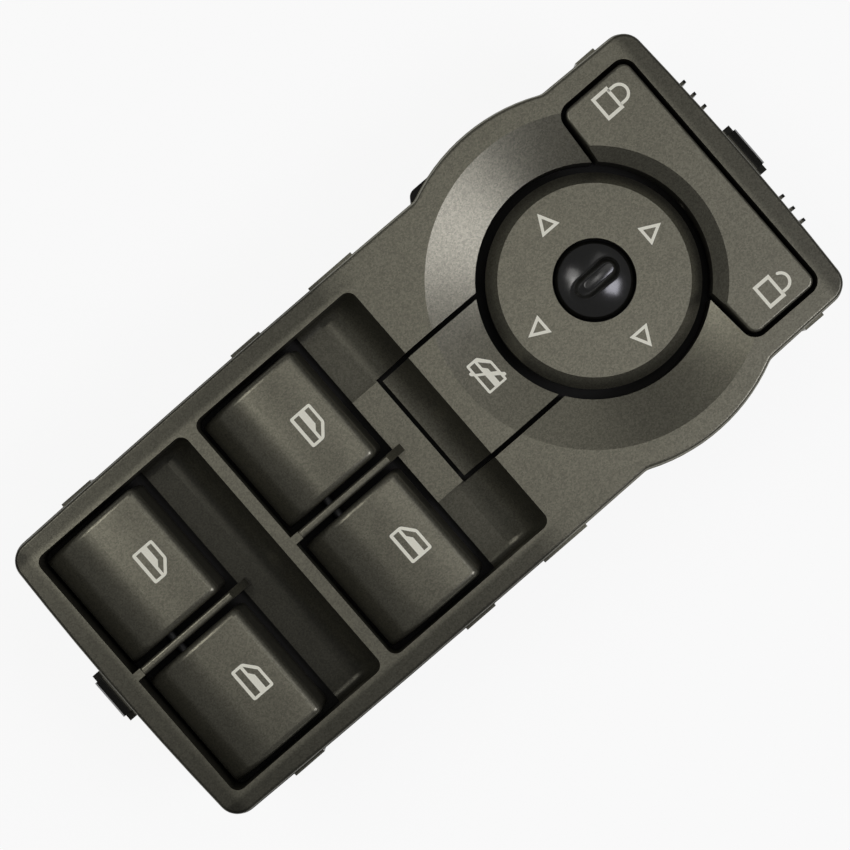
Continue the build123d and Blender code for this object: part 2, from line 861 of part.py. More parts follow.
def mirror_pad():
    """The round pad: flat face, sloped rim, two ears for the gimbal and four switch legs."""
    bottom = pad_rim_z - pad_skirt
    inside = pad_radius - pad_wall
    under = pad_top_z - pad_wall
    body = dial_revolve(
        [
            (pad_hole_radius, pad_top_z),
            (pad_flat_radius, pad_top_z),
            (pad_radius, pad_rim_z),
            (pad_radius, bottom),
            (inside, bottom),
            (inside, pad_rim_z),
            (pad_flat_radius - pad_wall, under),
            (pad_hole_radius, under),
        ]
    )
    ear_y0 = gimbal_outer_radius + pad_ear_gap
    for s in (-1, 1):
        y0, y1 = sorted((s * ear_y0, s * (ear_y0 + pad_ear_thickness)))
        low = gimbal_z - gimbal_pin_radius - pad_ear_wall
        half = pad_ear_half_width
        body += block(dial_x - half, dial_x + half, y0, y1, low, under + weld)
    for x, y in mirror_leg_points:
        body += rod(x, y, mirror_leg_tip, under + weld, leg_radius)
    bore = gimbal_pin_radius + running_clearance
    reach = ear_y0 + pad_ear_thickness + overrun
    return body - bar_y(dial_x, gimbal_z, -reach, reach, bore)


def mirror_gimbal():
    """The ring that tilts on the housing tower and carries the pad on its own two pins."""
    half = gimbal_height / 2
    ring = rod(dial_x, 0, gimbal_z - half, gimbal_z + half, gimbal_outer_radius)
    for s in (-1, 1):
        y0, y1 = sorted((s * (gimbal_inner_radius + weld), s * (gimbal_outer_radius + gimbal_pin_reach)))
        ring += bar_y(dial_x, gimbal_z, y0, y1, gimbal_pin_radius)
    low_z, high_z = gimbal_z - half - overrun, gimbal_z + half + overrun
    ring -= rod(dial_x, 0, low_z, high_z, gimbal_inner_radius)
    bore = gimbal_pin_radius + running_clearance
    reach = gimbal_outer_radius + overrun
    return ring - bar_x(0, gimbal_z, dial_x - reach, dial_x + reach, bore)


def bar_section(length, width, z):
    """A long round-ended outline of the selector's finger bar at one level."""
    return Pos(dial_x, 0, z) * RectangleRounded(length, width, width / 2 - pick)


def mirror_selector():
    """The selector knob: a dome with a finger bar, on the shaft that reaches the board."""
    dome_top = selector_dome_z + selector_dome_rise
    sphere = (selector_radius**2 + selector_dome_rise**2) / (2 * selector_dome_rise)
    turn = math.asin(selector_radius / sphere) / 2
    middle = (sphere * math.sin(turn), dome_top - sphere + sphere * math.cos(turn))
    hub = selector_tower_radius - selector_hub_inset
    lines = [
        ThreePointArc((0, dome_top), middle, (selector_radius, selector_dome_z)),
        Polyline(
            (selector_radius, selector_dome_z),
            (selector_radius, selector_skirt_z),
            (hub, selector_skirt_z),
            (hub, selector_tower_top),
            (selector_shaft_radius, selector_tower_top),
            (selector_shaft_radius, board_top + wiper_lift),
            (0, board_top + wiper_lift),
            (0, dome_top),
        ),
    ]
    knob = Pos(dial_x, 0, 0) * revolve(Plane.XZ * make_face(lines), Axis.Z)
    foot = bar_section(selector_bar_length, selector_bar_width, selector_dome_z + selector_bar_sink)
    shoulder = bar_section(
        selector_bar_length - selector_bar_taper,
        selector_bar_width - selector_bar_taper,
        (dome_top + selector_top_z) / 2,
    )
    land = bar_section(selector_bar_land_length, selector_bar_land_width, selector_top_z)
    return knob + loft([foot, shoulder], ruled=True) + loft([shoulder, land], ruled=True)


def selector_wiper():
    """The contact disc pressed on the selector shaft just above the board."""
    z0 = board_top + wiper_lift
    disc = rod(dial_x, 0, z0, z0 + wiper_thickness, wiper_radius)
    for angle in wiper_angles:
        x = dial_x + wiper_radius * math.cos(math.radians(angle))
        y = wiper_radius * math.sin(math.radians(angle))
        disc += rod(x, y, z0, z0 + wiper_thickness, wiper_thickness)
    return disc - rod(dial_x, 0, z0 - overrun, z0 + wiper_thickness + overrun, selector_shaft_radius)


def axle_towers():
    """Pairs of uprights on the deck that hold the paddle axles."""
    inner = paddle_inner_y + paddle_wall + tower_side_gap
    outer = paddle_outer_y - paddle_wall - tower_side_gap
    towers = []
    for x in pivot_xs:
        for y in (inner, outer - tower_thickness):
            for s in (-1, 1):
                y0, y1 = sorted((s * y, s * (y + tower_thickness)))
                foot = block(x - tower_half_width, x + tower_half_width, y0, y1, deck_z, pivot_z)
                towers.append(foot + bar_y(x, pivot_z, y0, y1, axle_radius + tower_wall))
    return towers


def rocker_towers():
    """Two uprights on the deck that hold the rocker's axle."""
    near = rocker_rib_thickness / 2 + rocker_tower_gap
    half = axle_radius + tower_wall
    towers = []
    for s in (-1, 1):
        x0, x1 = sorted((rocker_rib_x + s * near, rocker_rib_x + s * (near + rocker_tower_thickness)))
        towers.append(block(x0, x1, -half, half, deck_z, pivot_z) + bar_x(0, pivot_z, x0, x1, half))
    return towers


def slider_guides():
    """Ribs under the deck that keep each contact slider in line."""
    guides = []
    near = slider_width / 2 + slider_side_gap
    z0 = board_top + slider_guide_lift
    for x in pivot_xs:
        for y in (lever_y, -lever_y):
            for s in (-1, 1):
                y0, y1 = sorted((y + s * near, y + s * (near + slider_guide_wall)))
                half = slider_guide_length / 2
                guides.append(block(x - half, x + half, y0, y1, z0, deck_z + weld))
    return guides


def housing_nubs():
    """Wedges on the housing's sides that the bezel's tabs snap over."""
    nubs = []
    margin = tab_window_margin + nub_gap
    for x0, x1 in tab_spans:
        wall_y = min(side_y(x0), side_y(x1)) - housing_inset
        out_y = side_y((x0 + x1) / 2) + tab_out - nub_inset
        lines = Polyline(
            (wall_y - weld, tab_window_z + nub_gap),
            (out_y, tab_window_z + nub_gap + nub_rise),
            (wall_y - weld, tab_window_z + tab_window_height - nub_gap),
            close=True,
        )
        nub = extrude(Plane.YZ * make_face(lines), x1 - x0 - 2 * margin)
        nub = Pos(x0 + margin, 0, 0) * nub
        nubs.append(nub)
        nubs.append(mirror(nub, Plane.XZ))
    return nubs


def deck_holes():
    """Openings in the deck for levers, legs, light guides and the lockout stem."""
    z0, z1 = deck_z - overrun, seat_z + overrun
    sway = lever_width / 2 + lever_hole_sway
    holes = []
    for x in pivot_xs:
        for s in (-1, 1):
            y0 = s * lever_y - lever_hole_half_width
            y1 = s * lever_y + lever_hole_half_width
            holes.append(block(x - sway, x + sway, y0, y1, z0, z1))
    for x, y in mirror_leg_points + rocker_leg_points:
        holes.append(rod(x, y, z0, z1, leg_radius + leg_hole_gap))
    for x, y in icon_points:
        hx = guide_length / 2 + guide_gap
        hy = guide_width / 2 + guide_gap
        holes.append(block(x - hx, x + hx, y - hy, y + hy, z0, z1))
    return holes


def switch_housing():
    """The black housing: walls, deck, axle towers, guides, bosses and the dial tower."""
    outer = prism(plate_outline(-housing_inset), cover_thickness, seat_z)
    x0, x1 = flange_span
    flange_plan = Pos((x0 + x1) / 2, flange_y / 2) * RectangleRounded(x1 - x0, flange_y, flange_corner)
    outer += prism(flange_plan, seat_z - flange_depth, seat_z)
    inset = housing_inset + housing_wall
    body = outer - prism(plate_outline(-inset), cover_thickness, deck_z)
    for x, y in all_bosses:
        body += rod(x, y, cover_thickness, deck_z + weld, boss_radius)
    for piece in slider_guides():
        body += piece
    sleeve_foot = deck_z - stem_sleeve_drop
    stem_bore = stem_radius + running_clearance
    body += rod(stem_x, 0, sleeve_foot, deck_z + weld, stem_bore + stem_sleeve_wall)
    for hole in deck_holes():
        body -= hole
    for piece in axle_towers() + rocker_towers() + housing_nubs():
        body += piece
    body += rod(dial_x, 0, selector_tower_foot, selector_tower_top, selector_tower_radius)
    pin = gimbal_outer_radius - gimbal_pin_inset
    body += bar_x(0, gimbal_z, dial_x - pin, dial_x + pin, gimbal_pin_radius)
    bore = selector_shaft_radius + running_clearance
    body -= rod(dial_x, 0, selector_tower_foot - overrun, selector_tower_top + overrun, bore)
    body -= rod(stem_x, 0, sleeve_foot - overrun, seat_z + overrun, stem_bore)
    for x in pivot_xs:
        body -= bar_y(x, pivot_z, -paddle_outer_y, paddle_outer_y, axle_radius)
    reach = rocker_rib_thickness / 2 + rocker_tower_gap + rocker_tower_thickness + overrun
    body -= bar_x(0, pivot_z, rocker_rib_x - reach, rocker_rib_x + reach, axle_radius)
    foot_z, tip_z = cover_thickness - overrun, cover_thickness + screw_length
    for x, y in all_bosses:
        body -= rod(x, y, foot_z, tip_z, screw_radius + screw_fit)
    return body


def rear_cover():
    """The rear cover: a flat plate with a locating lip, board posts and screw recesses."""
    body = prism(plate_outline(-housing_inset), 0, cover_thickness)
    lip = housing_inset + housing_wall + cover_lip_gap
    ring = prism(plate_outline(-lip), cover_thickness, cover_thickness + cover_lip_height)
    ring -= prism(plate_outline(-lip - cover_lip), 0, cover_thickness + cover_lip_height)
    for x, y in all_bosses:
        top_z = cover_thickness + cover_lip_height + overrun
        ring -= rod(x, y, 0, top_z, boss_radius + cover_lip_gap)
    body += ring
    for x, y in post_points:
        body += rod(x, y, cover_thickness, board_z, post_radius)
    hx = socket_length / 2 + socket_window_gap
    hy = socket_width / 2 + socket_window_gap
    body -= block(socket_x - hx, socket_x + hx, -hy, hy, -overrun, cover_thickness + overrun)
    for x, y in all_bosses:
        body -= rod(x, y, -overrun, screw_recess_depth, screw_head_radius + screw_recess_gap)
        body -= rod(x, y, 0, cover_thickness + overrun, screw_radius + screw_recess_gap)
    return body


def cover_screws():
    """Six screws with round heads and cross recesses."""
    screws = []
    head_z = screw_recess_depth - screw_head_height
    for x, y in all_bosses:
        screw = rod(x, y, head_z, screw_recess_depth, screw_head_radius)
        screw += rod(x, y, head_z, head_z + screw_length, screw_radius)
        arm = screw_head_radius * screw_cross_share
        for hx, hy in ((arm, screw_cross_half), (screw_cross_half, arm)):
            screw -= block(x - hx, x + hx, y - hy, y + hy, head_z - overrun, head_z + screw_cross_depth)
        screws.append(screw)
    return screws


def circuit_board():
    """The board, notched round the screw bosses and drilled for the connector's pins."""
    inset = housing_inset + housing_wall + board_gap
    body = prism(plate_outline(-inset), board_z, board_top)
    for x, y in all_bosses:
        body -= rod(x, y, board_z - overrun, board_top + overrun, boss_radius + boss_board_gap)
    half = pin_side / 2
    for x, y in pin_points():
        body -= block(x - half, x + half, y - half, y + half, board_z - overrun, board_top + overrun)
    return body


def pin_points():
    """Places of the connector's pins, in two rows."""
    span = (pins_per_row - 1) * pin_pitch
    xs = [socket_x - span / 2 + i * pin_pitch for i in range(pins_per_row)]
    return [(x, s * pin_row_offset) for x in xs for s in (-1, 1)]


def connector_socket():
    """The shroud under the board that the harness plug enters."""
    hx, hy = socket_length / 2, socket_width / 2
    body = block(socket_x - hx, socket_x + hx, -hy, hy, 0, board_z)
    inner_x, inner_y = hx - socket_wall, hy - socket_wall
    body -= block(
        socket_x - inner_x,
        socket_x + inner_x,
        -inner_y,
        inner_y,
        -overrun,
        board_z - socket_floor,
    )
    x0, x1 = socket_x - socket_key_half, socket_x + socket_key_half
    body -= block(x0, x1, inner_y - overrun, hy - socket_key_inset, -overrun, socket_key_height)
    half = pin_side / 2
    for x, y in pin_points():
        body -= block(x - half, x + half, y - half, y + half, 0, board_z + overrun)
    return body


def connector_pins():
    """Square pins that stand in the socket and pass through the board."""
    half = pin_side / 2
    tail = board_top + pin_tail
    return [block(x - half, x + half, y - half, y + half, pin_tip_z, tail) for x, y in pin_points()]


def push_switches():
    """Small push switches on the board, under the legs and the lockout stem."""
    switches = []
    half = switch_side / 2
    for x, y in mirror_leg_points + rocker_leg_points + ((stem_x, 0),):
        shell = block(x - half, x + half, y - half, y + half, board_top, board_top + switch_body_height)
        shell += rod(x, y, board_top + switch_body_height, switch_top, switch_plunger_radius)
        switches.append(shell)
    return switches


def lamps():
    """One small lamp on the board under each pictogram."""
    hx, hy = lamp_length / 2, lamp_width / 2
    return [block(x - hx, x + hx, y - hy, y + hy, board_top, board_top + lamp_height) for x, y in icon_points]


def light_guides():
    """Clear posts that carry each lamp's light up through the deck."""
    guides = []
    for x, y in icon_points:
        hx, hy = guide_length / 2, guide_width / 2
        top = guide_top_z if x < front_pocket_end else guide_top_z - dial_guide_drop
        post = block(x - hx, x + hx, y - hy, y + hy, board_top + lamp_height, top)
        fy = hy + guide_flange
        post += block(x - hx, x + hx, y - fy, y + fy, seat_z, seat_z + guide_flange_height)
        guides.append(post)
    return guides


def all_nodes():
    """Every separate piece, by name."""
    nodes = {
        "bezel": bezel(),
        "switch_housing": switch_housing(),
        "rear_cover": rear_cover(),
        "circuit_board": circuit_board(),
        "connector_socket": connector_socket(),
        "connector_pins": connector_pins(),
        "push_switches": push_switches(),
        "lamps": lamps(),
        "light_guides": light_guides(),
        "cover_screws": cover_screws(),
        "rear_paddle_axle": paddle_axle(pivot_xs[0]),
        "front_paddle_axle": paddle_axle(pivot_xs[1]),
        "rocker_axle": rocker_axle(),
        "lock_rocker": lock_rocker(),
        "lockout_button": lockout_button(),
        "lockout_spring": lockout_spring(),
        "mirror_gimbal": mirror_gimbal(),
        "mirror_pad": mirror_pad(),
        "mirror_selector": mirror_selector(),
        "selector_wiper": selector_wiper(),
    }
    for row, start, pivot_x in zip(("rear", "front"), pocket_starts, pivot_xs):
        for hand, side in (("left", 1), ("right", -1)):
            nodes[f"{row}_{hand}_paddle"] = window_paddle(start, side)
            nodes[f"{row}_{hand}_slider"] = contact_slider(pivot_x, side)
    return nodes


def write_nodes():
    """One file per node."""
    os.makedirs("parts", exist_ok=True)
    for name, shape in all_nodes().items():
        solid = Compound(children=shape) if isinstance(shape, list) else shape
        export_step(solid, f"parts/{name}.step")


write_nodes()
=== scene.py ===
"""Dresses the packed master power window switch: soft painted faces, moulded black and metal parts,
printed pictograms, the mirror selector's knob and a plain studio."""

import math

import bmesh
import bpy
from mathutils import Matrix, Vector
from mathutils.bvhtree import BVHTree


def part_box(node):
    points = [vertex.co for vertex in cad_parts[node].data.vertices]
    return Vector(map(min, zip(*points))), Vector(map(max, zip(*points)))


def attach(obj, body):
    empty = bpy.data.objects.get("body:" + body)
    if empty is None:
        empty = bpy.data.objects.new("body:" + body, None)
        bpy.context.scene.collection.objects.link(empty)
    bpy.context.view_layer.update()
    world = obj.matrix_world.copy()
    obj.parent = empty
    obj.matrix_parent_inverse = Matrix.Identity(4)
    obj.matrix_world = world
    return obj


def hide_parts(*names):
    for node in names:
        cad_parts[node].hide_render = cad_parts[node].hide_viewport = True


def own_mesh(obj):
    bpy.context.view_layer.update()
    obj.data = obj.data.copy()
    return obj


bl_info = {
    "name": "Power Window Switch Finisher",
    "version": (1, 0, 0),
    "blender": (4, 5, 0),
    "location": "3D View > Sidebar > Window Switch",
    "description": "Paint, prints, selector knob and studio for a master power window switch",
    "category": "Object",
}

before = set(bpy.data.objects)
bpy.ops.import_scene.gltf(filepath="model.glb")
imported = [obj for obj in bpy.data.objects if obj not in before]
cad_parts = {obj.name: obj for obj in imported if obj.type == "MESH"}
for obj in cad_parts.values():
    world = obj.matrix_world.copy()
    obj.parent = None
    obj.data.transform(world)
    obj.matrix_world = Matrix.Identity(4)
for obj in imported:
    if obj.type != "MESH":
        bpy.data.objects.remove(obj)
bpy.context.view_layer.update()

MM = 0.001
DIAL_X = 42.6

PAINTED = (
    "bezel",
    "lock_rocker",
    "lockout_button",
    "mirror_pad",
    "rear_left_paddle",
    "rear_right_paddle",
    "front_left_paddle",
    "front_right_paddle",
)
BLACK_MOULDED = ("switch_housing", "rear_cover", "connector_socket", "mirror_gimbal")
WHITE_MOULDED = (
    "selector_wiper",
    "rear_left_slider",
    "rear_right_slider",
    "front_left_slider",
    "front_right_slider",
)
AXLES = ("rear_paddle_axle", "front_paddle_axle", "rocker_axle")

# Where the paint thins out, and where painted shade darkens it, as coordinates in metres from thin or
# dark to full: the paint thins past the plate's ends and low on its skirt; painted shade darkens the
# wells up their walls, the mirror pad's rim, and the plate's border, which the round bulge interrupts
END_FADE = (81.4 * MM, 81.1 * MM)
FOOT_FADE = (30.5 * MM, 32.0 * MM)
SKIRT_FADE = (33.5 * MM, 33.0 * MM)
FRONT_WELL_SHADE_FADE = (28.85 * MM, 30.05 * MM)
REAR_WELL_SHADE_FADE = (28.85 * MM, 31.85 * MM)
REAR_WELL_SHADE_END_FADE = (-36.9 * MM, -35.4 * MM)
RIM_SHADE_INNER_FADE = (20.9 * MM, 19.2 * MM)
RIM_SHADE_OUTER_FADE = (21.5 * MM, 21.7 * MM)
BORDER_SHADE_SIDE_FADE = (31.7 * MM, 30.2 * MM)
BORDER_SHADE_END_FADE = (77.5 * MM, 75.0 * MM)
BULGE_SHADE_FADE = (-10.0 * MM, 10.0 * MM)

# Shares of the full paint's colour there: on bare plastic, and under the painted shade
BARE_SHARE = 0.12
FRONT_WELL_SHADE_SHARE = 0.5
REAR_WELL_SHADE_SHARE = 0.5
RIM_SHADE_SHARE = 0.6
BORDER_SHADE_SHARE = 0.48

# Lamps: setting; width, depth and distance in metres; lean off the upright and azimuth in degrees
LAMPS = (
    ("overhead", 0.28, 0.15, 0.9, 6.6, -5.0),
    ("right_box", 0.29, 0.29, 0.75, 36.0, -48.0),
    ("left_box", 0.24, 0.24, 0.75, 26.0, 140.0),
    ("low_left_box", 0.24, 0.24, 0.75, 34.0, 115.0),
    ("upper_box", 0.44, 0.44, 0.75, 34.0, 15.0),
    ("rear_overhead", 0.2, 0.3, 0.9, 9.5, 178.0),
)

# Colours of the lamps, and the one that is cool
PLAIN_LIGHT = (1.0, 0.985, 0.955)
COOL_LIGHT = (0.91, 0.905, 1.0)
COOL_LAMP = "right_box"

# Height of the painted face, the floor's reach and height, in metres, and the camera's sensor, in
# millimetres
FACE_Z = 38.0 * MM
SENSOR_WIDTH = 36.0
FLOOR_REACH = 12.0
FLOOR_Z = -0.05 * MM
FLOOR_GLOW = 0.9

# The selector knob, in millimetres: its dome, its finger bar, whose slightly crowned land lies off the
# middle, and the radius and height of each edge from its rim down to the shaft's end
KNOB_SIDES = 192
KNOB_RINGS = 64
SHOULDER_RINGS = 8
KNOB_RADIUS = 7.8
DOME_TOP = 39.2
DOME_RADIUS = 14.0
DOME_CAP = 6.9
BAR_TOP = 40.97
BAR_DROP = 2.4
BAR_FLARE = 1.4
LAND_LENGTH = 6.8
LAND_WIDTH = 1.9
LAND_OFFSET = 0.8
LAND_CROWN_ALONG = 0.022
LAND_CROWN_ACROSS = 0.11
KNOB_SHAFT = (
    (7.8, 34.05),
    (7.73, 33.87),
    (7.55, 33.8),
    (4.6, 33.8),
    (4.6, 32.85),
    (4.55, 32.8),
    (2.5, 32.8),
    (2.5, 16.1),
    (2.3, 15.9),
)
KNOB_CREASE = math.radians(50)

# The lockout button's return spring: its mesh's steps and sides, its turns, and its wire's thickness in
# metres
SPRING_STEPS = 264
SPRING_SIDES = 16
SPRING_TURNS = 5.5
SPRING_WIRE = 0.6 * MM

# Shapes of the pictograms, in millimetres round their own centres, seen from above. Corner numbers that
# stay sharp follow the lockout's frame.
WINDOW_FRAME = ((-2.4, -3.55), (2.66, -3.55), (2.66, 1.08), (0.51, 3.66), (-2.4, 3.66))
WINDOW_LEFT_SLOT = ((-1.71, -2.97), (-0.42, -2.97), (-0.42, 3.07), (-1.71, 3.07))
WINDOW_RIGHT_SLOT = (
    (0.2, 3.05),
    (0.2, 1.42),
    (1.04, 0.32),
    (1.04, -2.97),
    (2.07, -2.97),
    (2.07, 0.75),
)
WINDOW_ICON_PLACES = {
    "rear_right": (-58.79, -15.06),
    "rear_left": (-58.45, 14.85),
    "front_right": (-18.05, -15.05),
    "front_left": (-17.9, 14.8),
}
LOCKOUT_ICON_CENTRE = (14.85, 0.15)
LOCKOUT_FRAME = (
    (-2.32, -3.57),
    (2.32, -3.57),
    (2.32, -2.8),
    (2.84, -2.8),
    (2.9, -2.2),
    (2.32, -1.78),
    (2.32, 1.21),
    (0.41, 3.53),
    (-2.32, 3.53),
    (-2.32, 2.1),
    (-2.84, 2.1),
    (-2.84, 1.5),
    (-2.32, 1.08),
)
LOCKOUT_SHARP = (2, 5, 9, 12)
LOCKOUT_SLOTS = (
    ((-1.8, 2.96), (-1.8, 1.22), (-0.56, 0.4), (-0.56, 2.96)),
    ((-1.8, 0.6), (-1.8, -3.1), (-0.54, -3.1), (-0.54, -0.24)),
    ((0.02, 2.68), (0.02, 1.3), (0.78, 0.42), (0.78, -0.42), (1.8, -1.1), (1.8, 0.88)),
    ((0.78, -1.4), (0.78, -3.1), (1.8, -3.1), (1.8, -2.1)),
)
WINDOW_ROUND = 0.5
LOCKOUT_ROUND = 0.4
ARROW_ROUND = 0.12
LOCK_BODY_HALF = (2.04, 2.7)
LOCK_HOLE_HALF = (1.38, 1.98)
LOCK_STROKE = 0.62
LOCK_OVERLAP = 0.15
CLOSED_SHACKLE = (3.0, 1.8)
OPEN_SHACKLE = (2.95, 1.75)
OPEN_SHACKLE_END = 72
CLOSED_LOCK_PLACE = (66.97, 24.35)
OPEN_LOCK_PLACE = (66.78, -24.0)
ARROW_TIP = 17.15
ARROW_BASE = 12.95
ARROW_HALF_BASE = 2.2
ARROW_STROKE = 0.6

# Working values of the prints: points on a rounded corner, the most of an edge that it takes, the
# angles of a line's round end, and the height from which a face is looked for, in metres
CORNER_POINTS = 5
CORNER_SHARE = 0.45
CAP_ANGLES = (0.6, 1.2, 1.57, 1.94, 2.54)
ABOVE_ALL = 0.1


class PaintSettings(bpy.types.PropertyGroup):
    """The soft paint on the faces that a hand touches."""

    colour: bpy.props.FloatVectorProperty(
        name="Paint colour",
        description="Warm dark grey of the paint",
        subtype="COLOR",
        size=3,
        min=0.0,
        max=1.0,
        default=(0.155, 0.149, 0.116),
    )
    metallic: bpy.props.FloatProperty(
        name="Metallic share",
        description="How much of the paint is fine metal flake",
        default=0.8,
        min=0.0,
        max=1.0,
        subtype="FACTOR",
    )
    roughness: bpy.props.FloatProperty(
        name="Roughness",
        description="How widely the paint spreads a highlight",
        default=0.31,
        min=0.0,
        max=1.0,
        subtype="FACTOR",
    )
    grain: bpy.props.FloatProperty(
        name="Grain size",
        description="Size of the paint's metal flakes",
        default=0.00027,
        min=0.00005,
        max=0.002,
        unit="LENGTH",
        precision=5,
    )
    grain_contrast: bpy.props.FloatProperty(
        name="Grain contrast",
        description="How much lighter or darker one flake is than the paint",
        default=0.21,
        min=0.0,
        max=1.0,
        subtype="FACTOR",
    )
    grain_depth: bpy.props.FloatProperty(
        name="Grain depth",
        description="Height of the paint's grain",
        default=0.000003,
        min=0.0,
        max=0.0005,
        unit="LENGTH",
        precision=6,
    )


class PrintSettings(bpy.types.PropertyGroup):
    """The pale printed pictograms."""

    colour: bpy.props.FloatVectorProperty(
        name="Print colour",
        description="Pale ink of the pictograms",
        subtype="COLOR",
        size=3,
        min=0.0,
        max=1.0,
        default=(1.0, 0.965, 0.815),
    )
    thickness: bpy.props.FloatProperty(
        name="Ink thickness",
        description="How far the ink stands out of the paint",
        default=0.00003,
        min=0.00001,
        max=0.0002,
        unit="LENGTH",
        precision=6,
    )
    step: bpy.props.FloatProperty(
        name="Mesh step",
        description="Longest edge of the ink's mesh, so that it follows a curved face",
        default=0.0005,
        min=0.0002,
        max=0.002,
        unit="LENGTH",
        precision=5,
    )


class KnobSettings(bpy.types.PropertyGroup):
    """The selector knob in the middle of the mirror pad."""

    bar_length: bpy.props.FloatProperty(
        name="Bar length",
        description="Length of the finger bar at its foot",
        default=0.011,
        min=0.006,
        max=0.014,
        unit="LENGTH",
        precision=4,
    )
    bar_width: bpy.props.FloatProperty(
        name="Bar width",
        description="Width of the finger bar at its foot",
        default=0.0059,
        min=0.002,
        max=0.008,
        unit="LENGTH",
        precision=4,
    )
    blend: bpy.props.FloatProperty(
        name="Blend",
        description="Radius of the fillet between the dome and the bar",
        default=0.0006,
        min=0.0001,
        max=0.002,
        unit="LENGTH",
        precision=4,
    )
    roughness: bpy.props.FloatProperty(
        name="Roughness",
        description="How widely the knob spreads a highlight",
        default=0.2,
        min=0.0,
        max=1.0,
        subtype="FACTOR",
    )


class StudioSettings(bpy.types.PropertyGroup):
    """The camera and the lamps."""

    turn: bpy.props.FloatProperty(
        name="Camera turn",
        description="Turn of the picture about the upright axis",
        default=math.radians(-40.9),
        subtype="ANGLE",
    )
    height: bpy.props.FloatProperty(
        name="Camera height",
        description="Height of the camera above the floor",
        default=0.488,
        min=0.2,
        max=2.0,
        unit="LENGTH",
    )
    view_width: bpy.props.FloatProperty(
        name="View width",
        description="Width that the picture covers at the painted face",
        default=0.16575,
        min=0.05,
        max=1.0,
        unit="LENGTH",
    )
    aim: bpy.props.FloatVectorProperty(
        name="Camera place",
        description="Point of the object under the camera",
        subtype="TRANSLATION",
        unit="LENGTH",
        size=2,
        default=(-0.00095, 0.0003),
    )
    overhead: bpy.props.FloatProperty(
        name="Overhead lamp",
        description="Power of the lamp above the camera",
        default=0.25,
        min=0.0,
        max=100.0,
        unit="POWER",
    )
    right_box: bpy.props.FloatProperty(
        name="Right softbox",
        description="Power of the softbox on the picture's right",
        default=1.43,
        min=0.0,
        max=100.0,
        unit="POWER",
    )
    left_box: bpy.props.FloatProperty(
        name="Left softbox",
        description="Power of the softbox on the picture's left",
        default=0.58,
        min=0.0,
        max=100.0,
        unit="POWER",
    )
    low_left_box: bpy.props.FloatProperty(
        name="Low left softbox",
        description="Power of the lower softbox on the picture's left",
        default=0.39,
        min=0.0,
        max=100.0,
        unit="POWER",
    )
    upper_box: bpy.props.FloatProperty(
        name="Upper softbox",
        description="Power of the softbox at the picture's top",
        default=0.3,
        min=0.0,
        max=100.0,
        unit="POWER",
    )
    rear_overhead: bpy.props.FloatProperty(
        name="Rear overhead lamp",
        description="Power of the weak lamp above the window paddles",
        default=0.05,
        min=0.0,
        max=100.0,
        unit="POWER",
    )
    ambient: bpy.props.FloatProperty(
        name="Ambient light",
        description="Strength of the even light from all round",
        default=0.156,
        min=0.0,
        max=2.0,
    )


def shader(name, socket_values):
    """A new material with one Principled shader, its constant sockets set, and object coordinates."""
    material = bpy.data.materials.new(name)
    material.use_nodes = True
    tree = material.node_tree
    tree.nodes.clear()
    output = tree.nodes.new("ShaderNodeOutputMaterial")
    principled = tree.nodes.new("ShaderNodeBsdfPrincipled")
    for socket, value in socket_values.items():
        principled.inputs[socket].default_value = value
    tree.links.new(principled.outputs["BSDF"], output.inputs["Surface"])
    coordinates = tree.nodes.new("ShaderNodeTexCoord").outputs["Object"]
    return material, tree, principled, coordinates


def noise(tree, coordinates, size, detail=2.0, stretch=(1.0, 1.0, 1.0)):
    """A noise texture whose spots are about one size across; stretch lengthens them along an axis."""
    mapping = tree.nodes.new("ShaderNodeMapping")
    mapping.inputs["Scale"].default_value = [1.0 / (size * s) for s in stretch]
    tree.links.new(coordinates, mapping.inputs["Vector"])
    texture = tree.nodes.new("ShaderNodeTexNoise")
    texture.inputs["Scale"].default_value = 1.0
    texture.inputs["Detail"].default_value = detail
    tree.links.new(mapping.outputs["Vector"], texture.inputs["Vector"])
    return texture.outputs["Fac"]


def ramp(tree, factor, low, high, start=0.3, end=0.7):
    """A colour between two, by a texture's value."""
    node = tree.nodes.new("ShaderNodeValToRGB")
    node.color_ramp.elements[0].position = start
    node.color_ramp.elements[0].color = (*low, 1.0)
    node.color_ramp.elements[1].position = end
    node.color_ramp.elements[1].color = (*high, 1.0)
    tree.links.new(factor, node.inputs["Fac"])
    return node.outputs["Color"]


def spread(tree, factor, low, high):
    """A number between two, by a texture's value."""
    node = tree.nodes.new("ShaderNodeMapRange")
    node.inputs["From Min"].default_value = 0.3
    node.inputs["From Max"].default_value = 0.7
    node.inputs["To Min"].default_value = low
    node.inputs["To Max"].default_value = high
    tree.links.new(factor, node.inputs["Value"])
    return node.outputs["Result"]


def coat(tree, principled, colour, roughness):
    """Gives the shader a colour and a roughness from textures."""
    tree.links.new(colour, principled.inputs["Base Color"])
    tree.links.new(roughness, principled.inputs["Roughness"])


def add_bump(tree, principled, height, depth):
    """Relief of a given depth on the shader's normal."""
    node = tree.nodes.new("ShaderNodeBump")
    node.inputs["Strength"].default_value = 1.0
    node.inputs["Distance"].default_value = depth
    tree.links.new(height, node.inputs["Height"])
    tree.links.new(node.outputs["Normal"], principled.inputs["Normal"])


def shade(colour, factor):
    """A colour made lighter or darker."""
    return tuple(min(1.0, c * factor) for c in colour)


def flakes(tree, coordinates, size):
    """A number for each tiny cell of the paint, at random, as its metal flakes lie."""
    mapping = tree.nodes.new("ShaderNodeMapping")
    mapping.inputs["Scale"].default_value = [1.0 / size] * 3
    tree.links.new(coordinates, mapping.inputs["Vector"])
    cells = tree.nodes.new("ShaderNodeTexVoronoi")
    cells.inputs["Scale"].default_value = 1.0
    tree.links.new(mapping.outputs["Vector"], cells.inputs["Vector"])
    parts = tree.nodes.new("ShaderNodeSeparateColor")
    tree.links.new(cells.outputs["Color"], parts.inputs["Color"])
    return parts.outputs["Red"]


